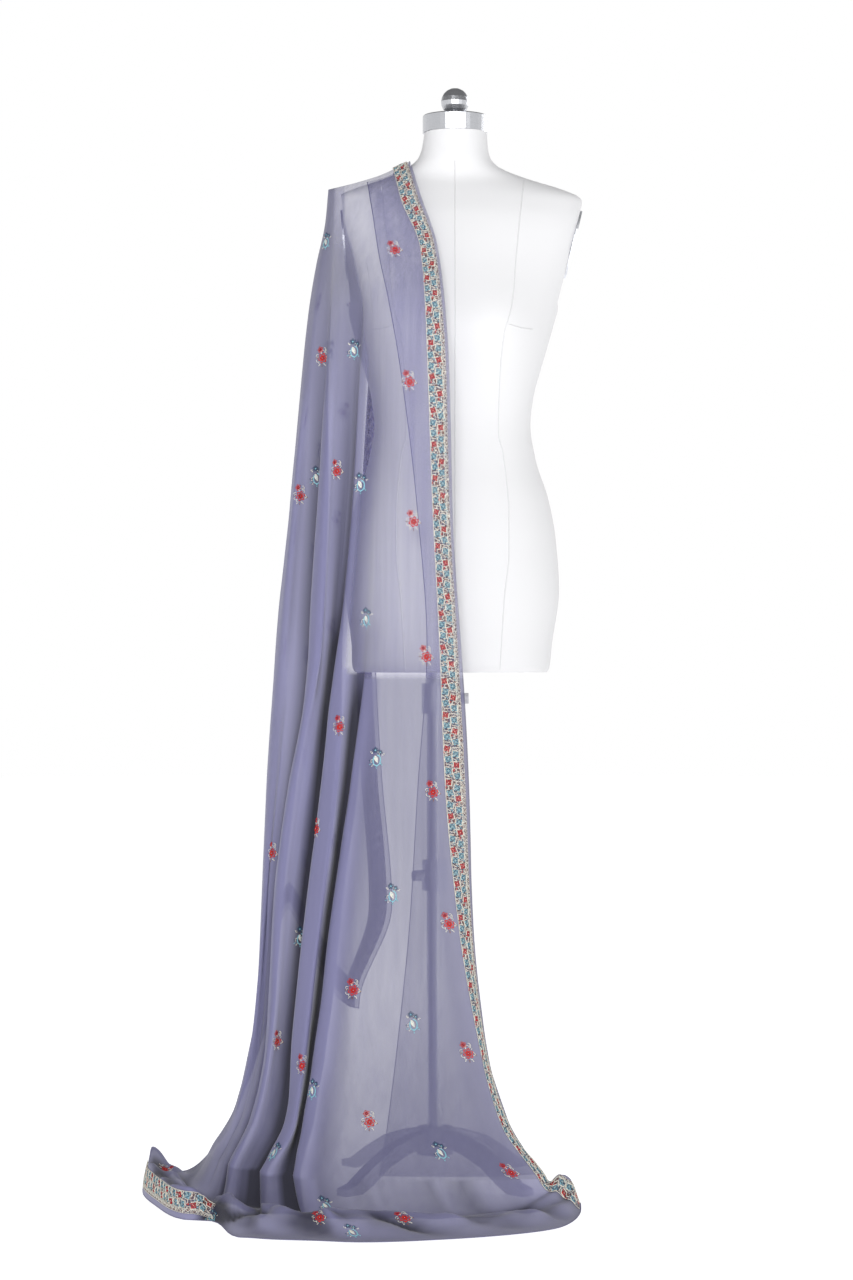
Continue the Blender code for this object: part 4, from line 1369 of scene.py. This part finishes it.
class STOLE_OT_border(bpy.types.Operator):
    """Lay the embroidered border along the stole's edges"""

    bl_idname = "stole.border"
    bl_label = "Lay the border"

    def execute(self, context):
        settings = context.scene.embroidery
        ribbons = border_ribbons(stole_shape())
        ground = net_ground(settings)
        nets, faces, laid = [], [], []
        for ribbon in ribbons:
            first = sum(len(part) for part in nets)
            faces += quads(*ribbon.grid.shape[:2], first)
            nets.append((ribbon.grid + ribbon.normals * NET_LIFT).reshape(-1, 3))
            laid += self.flowers(ribbon, settings)
            laid += self.edgings(ribbon)
        mesh = mesh_of("border_ground", np.concatenate(nets), faces)
        net = add_piece("border_ground", mesh, [ground])
        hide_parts(*BORDER_NODES)
        joined("border_embroidery", laid, thread_materials(settings))
        return {"FINISHED"}

    def flowers(self, ribbon, settings):
        """Two staggered columns of flowers, each red, teal and teal in turn."""
        patterns = {colour: border_flower(colour) for colour in ("red", "teal")}
        laid = []
        for column, across in enumerate((0.80, 0.40)):
            for i in range(int(ribbon.down[-1] / settings.repeat)):
                along = (i + 0.5 + 0.5 * column) * settings.repeat
                if along > ribbon.down[-1] - 0.006:
                    continue
                pattern = patterns["red" if (i + 2 * column) % 3 == 0 else "teal"]
                turn = 0.28 * math.sin(2.4 * i + 5.0 * column)
                aside = 0.0007 * math.sin(4.1 * i + column)
                spot = (along + aside, across + aside / BAND_WIDTH, math.cos(turn), math.sin(turn))

                def surface(right, up, high, spot=spot):
                    down, over, level, slope = spot
                    beside = right * level - up * slope
                    above = right * slope + up * level
                    place = (down - above, over - beside / BAND_WIDTH)
                    return ribbon.along_ribbon(*place, high + BORDER_LIFT)

                laid.append((pattern.laid(surface), pattern))
        return laid

    def edgings(self, ribbon):
        """On the outer side beads, a wavy scroll and a plain line, and a plain line on the inner side."""
        length = ribbon.down[-1] / MM
        along = np.linspace(0.5, length - 0.5, int(length / 0.9))
        scroll, beads, line = Stitching(), Stitching(), Stitching()
        scroll.stem(np.c_[1.5 * np.sin(along * 2 * math.pi / 6.7), -along], 0.7, "cream", 0.7)
        for i, place in enumerate(np.arange(2.0, length - 2.0, 3.35)):
            turn = 0.6 if i % 2 else 2.5
            colour = "brown" if i % 4 == 0 else "cream"
            scroll.leaf(0.0, -place, turn, 2.6, 1.2, colour, 0.8)
        for place in np.arange(1.0, length - 1.0, 2.0):
            beads.dot(0.0, -place, 0.62, "cream", 0.8, 5)
        plain = np.linspace(0.5, length - 0.5, int(length / 3.0))
        line.stem(np.c_[np.zeros(len(plain)), -plain], 0.8, "cream", 0.7)
        found = []
        for pattern, across in ((scroll, 0.14), (beads, 0.025), (line, 0.985), (line, 0.225)):

            def surface(right, up, high, across=across):
                return ribbon.along_ribbon(-up, across + right / BAND_WIDTH, high + BORDER_LIFT)

            found.append((pattern.laid(surface), pattern))
        return found


class STOLE_OT_flowers(bpy.types.Operator):
    """Scatter the embroidered flowers over the panel"""

    bl_idname = "stole.flowers"
    bl_label = "Scatter the flowers"

    def execute(self, context):
        settings = context.scene.embroidery
        shape = stole_shape()
        cloths = [Cloth(shape["upper"]), Cloth(shape["trail"])]
        trees = [cloth.tree() for cloth in cloths]
        laid = []
        for pattern, pixels in ((red_spray(), RED_SEEN), (blue_spray(), BLUE_SEEN)):
            for pixel in pixels:
                found = spot_behind(pixel, cloths, trees)
                if found:
                    laid.append(self.lay(pattern, *found[:3]))
        columns = range(len(FRONT_PLACES) + 8, len(shape["places"]) - 20, SPRAY_COLUMNS)
        for i, column in enumerate(columns):
            pattern = blue_spray() if i % 2 else red_spray()
            for row in range(34 + SPRAY_ROWS // 2 * (i % 2), len(shape["upper"]) - 12, SPRAY_ROWS):
                laid.append(self.lay(pattern, cloths[0], row + 0.5, column + 0.5))
        joined("flower_sprays", laid, thread_materials(settings))
        return {"FINISHED"}

    def lay(self, pattern, cloth, row, column):
        def surface(right, up, high):
            return cloth.round_spot(row, column, -right, up, high + SPRAY_LIFT)

        return pattern.laid(surface), pattern


# The dress form


def superellipse(angle, power):
    x, y = math.sin(angle), -math.cos(angle)
    return (math.copysign(abs(x) ** (2 / power), x), math.copysign(abs(y) ** (2 / power), y))


def torso_sizes(height):
    return [float(read_table(TORSO, column, height, MM)) for column in range(1, 5)]


def bust_swell(across, height):
    """How far the bust stands out from the torso's section."""
    swell = 0.0
    for side in (-1, 1):
        away = math.hypot(across - side * BUST["across"], height - BUST["height"]) / BUST["radius"]
        swell += BUST["out"] * math.exp(-(away**2))
    return swell


def torso_ring(height):
    middle, half_width, front, back = torso_sizes(height)
    ring = []
    for i in range(TORSO_POINTS):
        across, fore = superellipse(2 * math.pi * i / TORSO_POINTS, TORSO_POWER)
        x = middle + half_width * across
        y = (front if fore < 0 else back) * fore
        if fore < 0:
            y -= bust_swell(x - middle, height) * -fore
        ring.append((x, y, height))
    return ring


def torso_front(x, height):
    """The point of the torso's front at a distance x from the pole."""
    middle, half_width, front, _ = torso_sizes(height)
    share = min(abs(x - middle) / half_width, 0.995)
    fore = (1 - share**TORSO_POWER) ** (1 / TORSO_POWER)
    return (x, -front * fore - bust_swell(x - middle, height) * fore, height)


def torso_mesh():
    made = bmesh.new()
    heights = np.arange(TORSO[0][0], TORSO[-1][0], TORSO_STEP).tolist() + [TORSO[-1][0]]
    rows = [[made.verts.new(p) for p in torso_ring(h)] for h in heights]
    for lower, upper in zip(rows, rows[1:]):
        for i in range(TORSO_POINTS):
            j = (i + 1) % TORSO_POINTS
            made.faces.new((lower[i], lower[j], upper[j], upper[i]))
    made.faces.new(list(reversed(rows[0])))
    made.faces.new(rows[-1])
    for side, sign in (("left", -1), ("right", 1)):
        lean = ARM_LEAN[side]
        high = [f for f in made.faces if min(v.co.z for v in f.verts) > ARM_OPENS]
        bmesh.ops.bisect_plane(
            made,
            geom=high + list({e for f in high for e in f.edges} | {v for f in high for v in f.verts}),
            plane_co=(ARM_CUT_X[side], 0.0, ARM_HEIGHT),
            plane_no=(sign * math.cos(lean), 0.0, -math.sin(lean)),
        )
        for vertex in made.verts:
            opening = 1.2 * max(ARM_OPENS - vertex.co.z, 0.0)
            reach = sign * ARM_CUT_X[side] + math.tan(lean) * (vertex.co.z - ARM_HEIGHT) + opening
            if sign * vertex.co.x > reach and vertex.co.z > ARM_OPENS - 0.06:
                vertex.co.x = sign * reach
    bmesh.ops.recalc_face_normals(made, faces=made.faces[:])
    mesh = bpy.data.meshes.new("form_cover")
    made.to_mesh(mesh)
    made.free()
    mesh.transform(Matrix.Translation(POLE_PLACE))
    mesh.shade_smooth()
    mesh.set_sharp_from_angle(angle=math.radians(38))
    return mesh


def dress(node, material):
    """Gives a solid of the frame its material."""
    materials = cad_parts[node].data.materials
    materials.clear()
    materials.append(material)


class STOLE_OT_form(bpy.types.Operator):
    """Make the covered dress form with its seams"""

    bl_idname = "stole.form"
    bl_label = "Make the dress form"

    def execute(self, context):
        settings = context.scene.dress_form
        torso = add_piece("form_cover", torso_mesh(), [knitted_cover(settings)])
        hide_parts("form_torso")
        runs = []
        for name, points in SEAMS.items():
            at = [p[1] for p in points]
            heights = np.linspace(at[0], at[-1], 140) if name != "bust" else None
            for side in (1, -1) if name != "centre" else (1,):
                runs.append(self.seam(points, heights, side))
        add_tube("form_seams", runs, SEAM_RADIUS, seam_thread(settings))
        for node in ("neck_cap", "finial_ball"):
            dress(node, brushed_steel(settings, f"steel_{node}", 1.0, 0.30))
        for node in ("arm_plate_left", "arm_plate_right"):
            dress(node, brushed_steel(settings, f"steel_{node}", 1.55, 0.42))
        return {"FINISHED"}

    def seam(self, points, heights, side):
        """A seam at the given heights or, without them, straight from point to point."""
        if heights is None:
            steps = np.linspace(0, len(points) - 1, 24)
            across, heights = (np.interp(steps, range(len(points)), part) for part in zip(*points))
        else:
            across = through([p[1] for p in points], [p[0] for p in points], heights)
        return [torso_front(FORM_X + side * a, h) for a, h in zip(across, heights)]


class STOLE_OT_stand(bpy.types.Operator):
    """Finish the pole, its collars and the base"""

    bl_idname = "stole.stand"
    bl_label = "Finish the stand"

    def execute(self, context):
        settings = context.scene.dress_form
        stand = stand_paint(settings)
        dress("pole", brushed_steel(settings, "steel_pole", 1.7, 0.38))
        clamp = brushed_steel(settings, "steel_collar", 1.5, 0.42)
        for collar in ("upper_collar", "lower_collar"):
            dress(collar, clamp)
            dress(f"{collar}_knob", stand)
        for node in ("base_hub", "leg_1", "leg_2", "leg_3", "leg_4"):
            dress(node, stand)
        return {"FINISHED"}


class STOLE_OT_studio(bpy.types.Operator):
    """Set the floor, backdrop, lamps and camera"""

    bl_idname = "stole.studio"
    bl_label = "Set the studio"

    def execute(self, context):
        settings = context.scene.studio
        self.floor(floor_paint(settings))
        self.lamp("key_lamp", (-0.6, -4.5, 2.3), 1.5, settings.key)
        self.lamp("fill_lamp", (2.0, -4.2, 1.9), 1.8, settings.fill)
        self.lamp("back_lamp", (3.0, 3.2, 2.6), 1.8, settings.back)
        world = bpy.data.worlds.new("studio")
        context.scene.world = world
        world.use_nodes = True
        self.daylight(world.node_tree, settings.daylight)
        context.scene.view_settings.view_transform = "Standard"
        self.camera(context)
        return {"FINISHED"}

    def daylight(self, tree, strength):
        """White all round near the horizon, softer overhead."""
        nodes = Nodes(tree)
        place = nodes.node("TexCoord", output="Generated")
        height = nodes.node("SeparateXYZ", {}, {"Vector": place}, "Z")
        stops = ((0.21, (1.0, 1.0, 1.0)), (0.34, (strength, strength, strength)))
        sky = nodes.node("ValToRGB", {"stops": stops}, {"Fac": height}, "Color")
        nodes.put(tree.nodes["Background"].inputs["Color"], sky)

    def floor(self, material):
        """A wide round floor under the stand."""
        made = bmesh.new()
        bmesh.ops.create_circle(made, cap_ends=True, segments=96, radius=FLOOR_RADIUS)
        mesh = bpy.data.meshes.new("studio_floor")
        made.to_mesh(mesh)
        made.free()
        mesh.transform(Matrix.Translation((0.0, 0.0, -FLOOR_DROP)))
        mesh.materials.append(material)
        linked("studio_floor", mesh)

    def lamp(self, name, place, size, power):
        light = bpy.data.lights.new(name, "AREA")
        light.size = size
        light.energy = power
        lamp = linked(name, light)
        lamp.location = POLE_PLACE + Vector(place)
        aim = POLE_PLACE + LAMP_AIM - lamp.location
        lamp.rotation_euler = aim.to_track_quat("-Z", "Y").to_euler()

    def camera(self, context):
        lens = bpy.data.cameras.new("photo_view")
        lens.sensor_width = SENSOR
        lens.lens = FOCAL_PIXELS * SENSOR / PHOTO_HIGH
        view = linked("photo_view", lens)
        view.location = POLE_PLACE + CAMERA_PLACE
        view.rotation_euler = (math.pi / 2, 0.0, 0.0)
        context.scene.camera = view


class STOLE_PT_panel(bpy.types.Panel):
    """Lists the steps that make the stole"""

    bl_label = "Dupatta Stole"
    bl_idname = "STOLE_PT_panel"
    bl_space_type = "VIEW_3D"
    bl_region_type = "UI"
    bl_category = "Stole"

    def draw(self, context):
        for operator in OPERATORS:
            self.layout.operator(operator.bl_idname)
        for name, group in SETTINGS.items():
            for setting in group.__annotations__:
                self.layout.prop(getattr(context.scene, name), setting)


OPERATORS = (
    STOLE_OT_sheet,
    STOLE_OT_border,
    STOLE_OT_flowers,
    STOLE_OT_form,
    STOLE_OT_stand,
    STOLE_OT_studio,
)
SETTINGS = {
    "stole": StoleSettings,
    "embroidery": EmbroiderySettings,
    "dress_form": FormSettings,
    "studio": StudioSettings,
}


def register():
    for group in SETTINGS.values():
        bpy.utils.register_class(group)
    for name, group in SETTINGS.items():
        setattr(bpy.types.Scene, name, PointerProperty(type=group))
    for kind in (*OPERATORS, STOLE_PT_panel):
        bpy.utils.register_class(kind)


def unregister():
    for kind in (STOLE_PT_panel, *OPERATORS):
        bpy.utils.unregister_class(kind)
    for name in SETTINGS:
        delattr(bpy.types.Scene, name)
    for group in SETTINGS.values():
        bpy.utils.unregister_class(group)


def main():
    register()
    bpy.ops.stole.sheet()
    bpy.ops.stole.border()
    bpy.ops.stole.flowers()
    bpy.ops.stole.form()
    bpy.ops.stole.stand()
    bpy.ops.stole.studio()


if __name__ == "__main__":
    main()
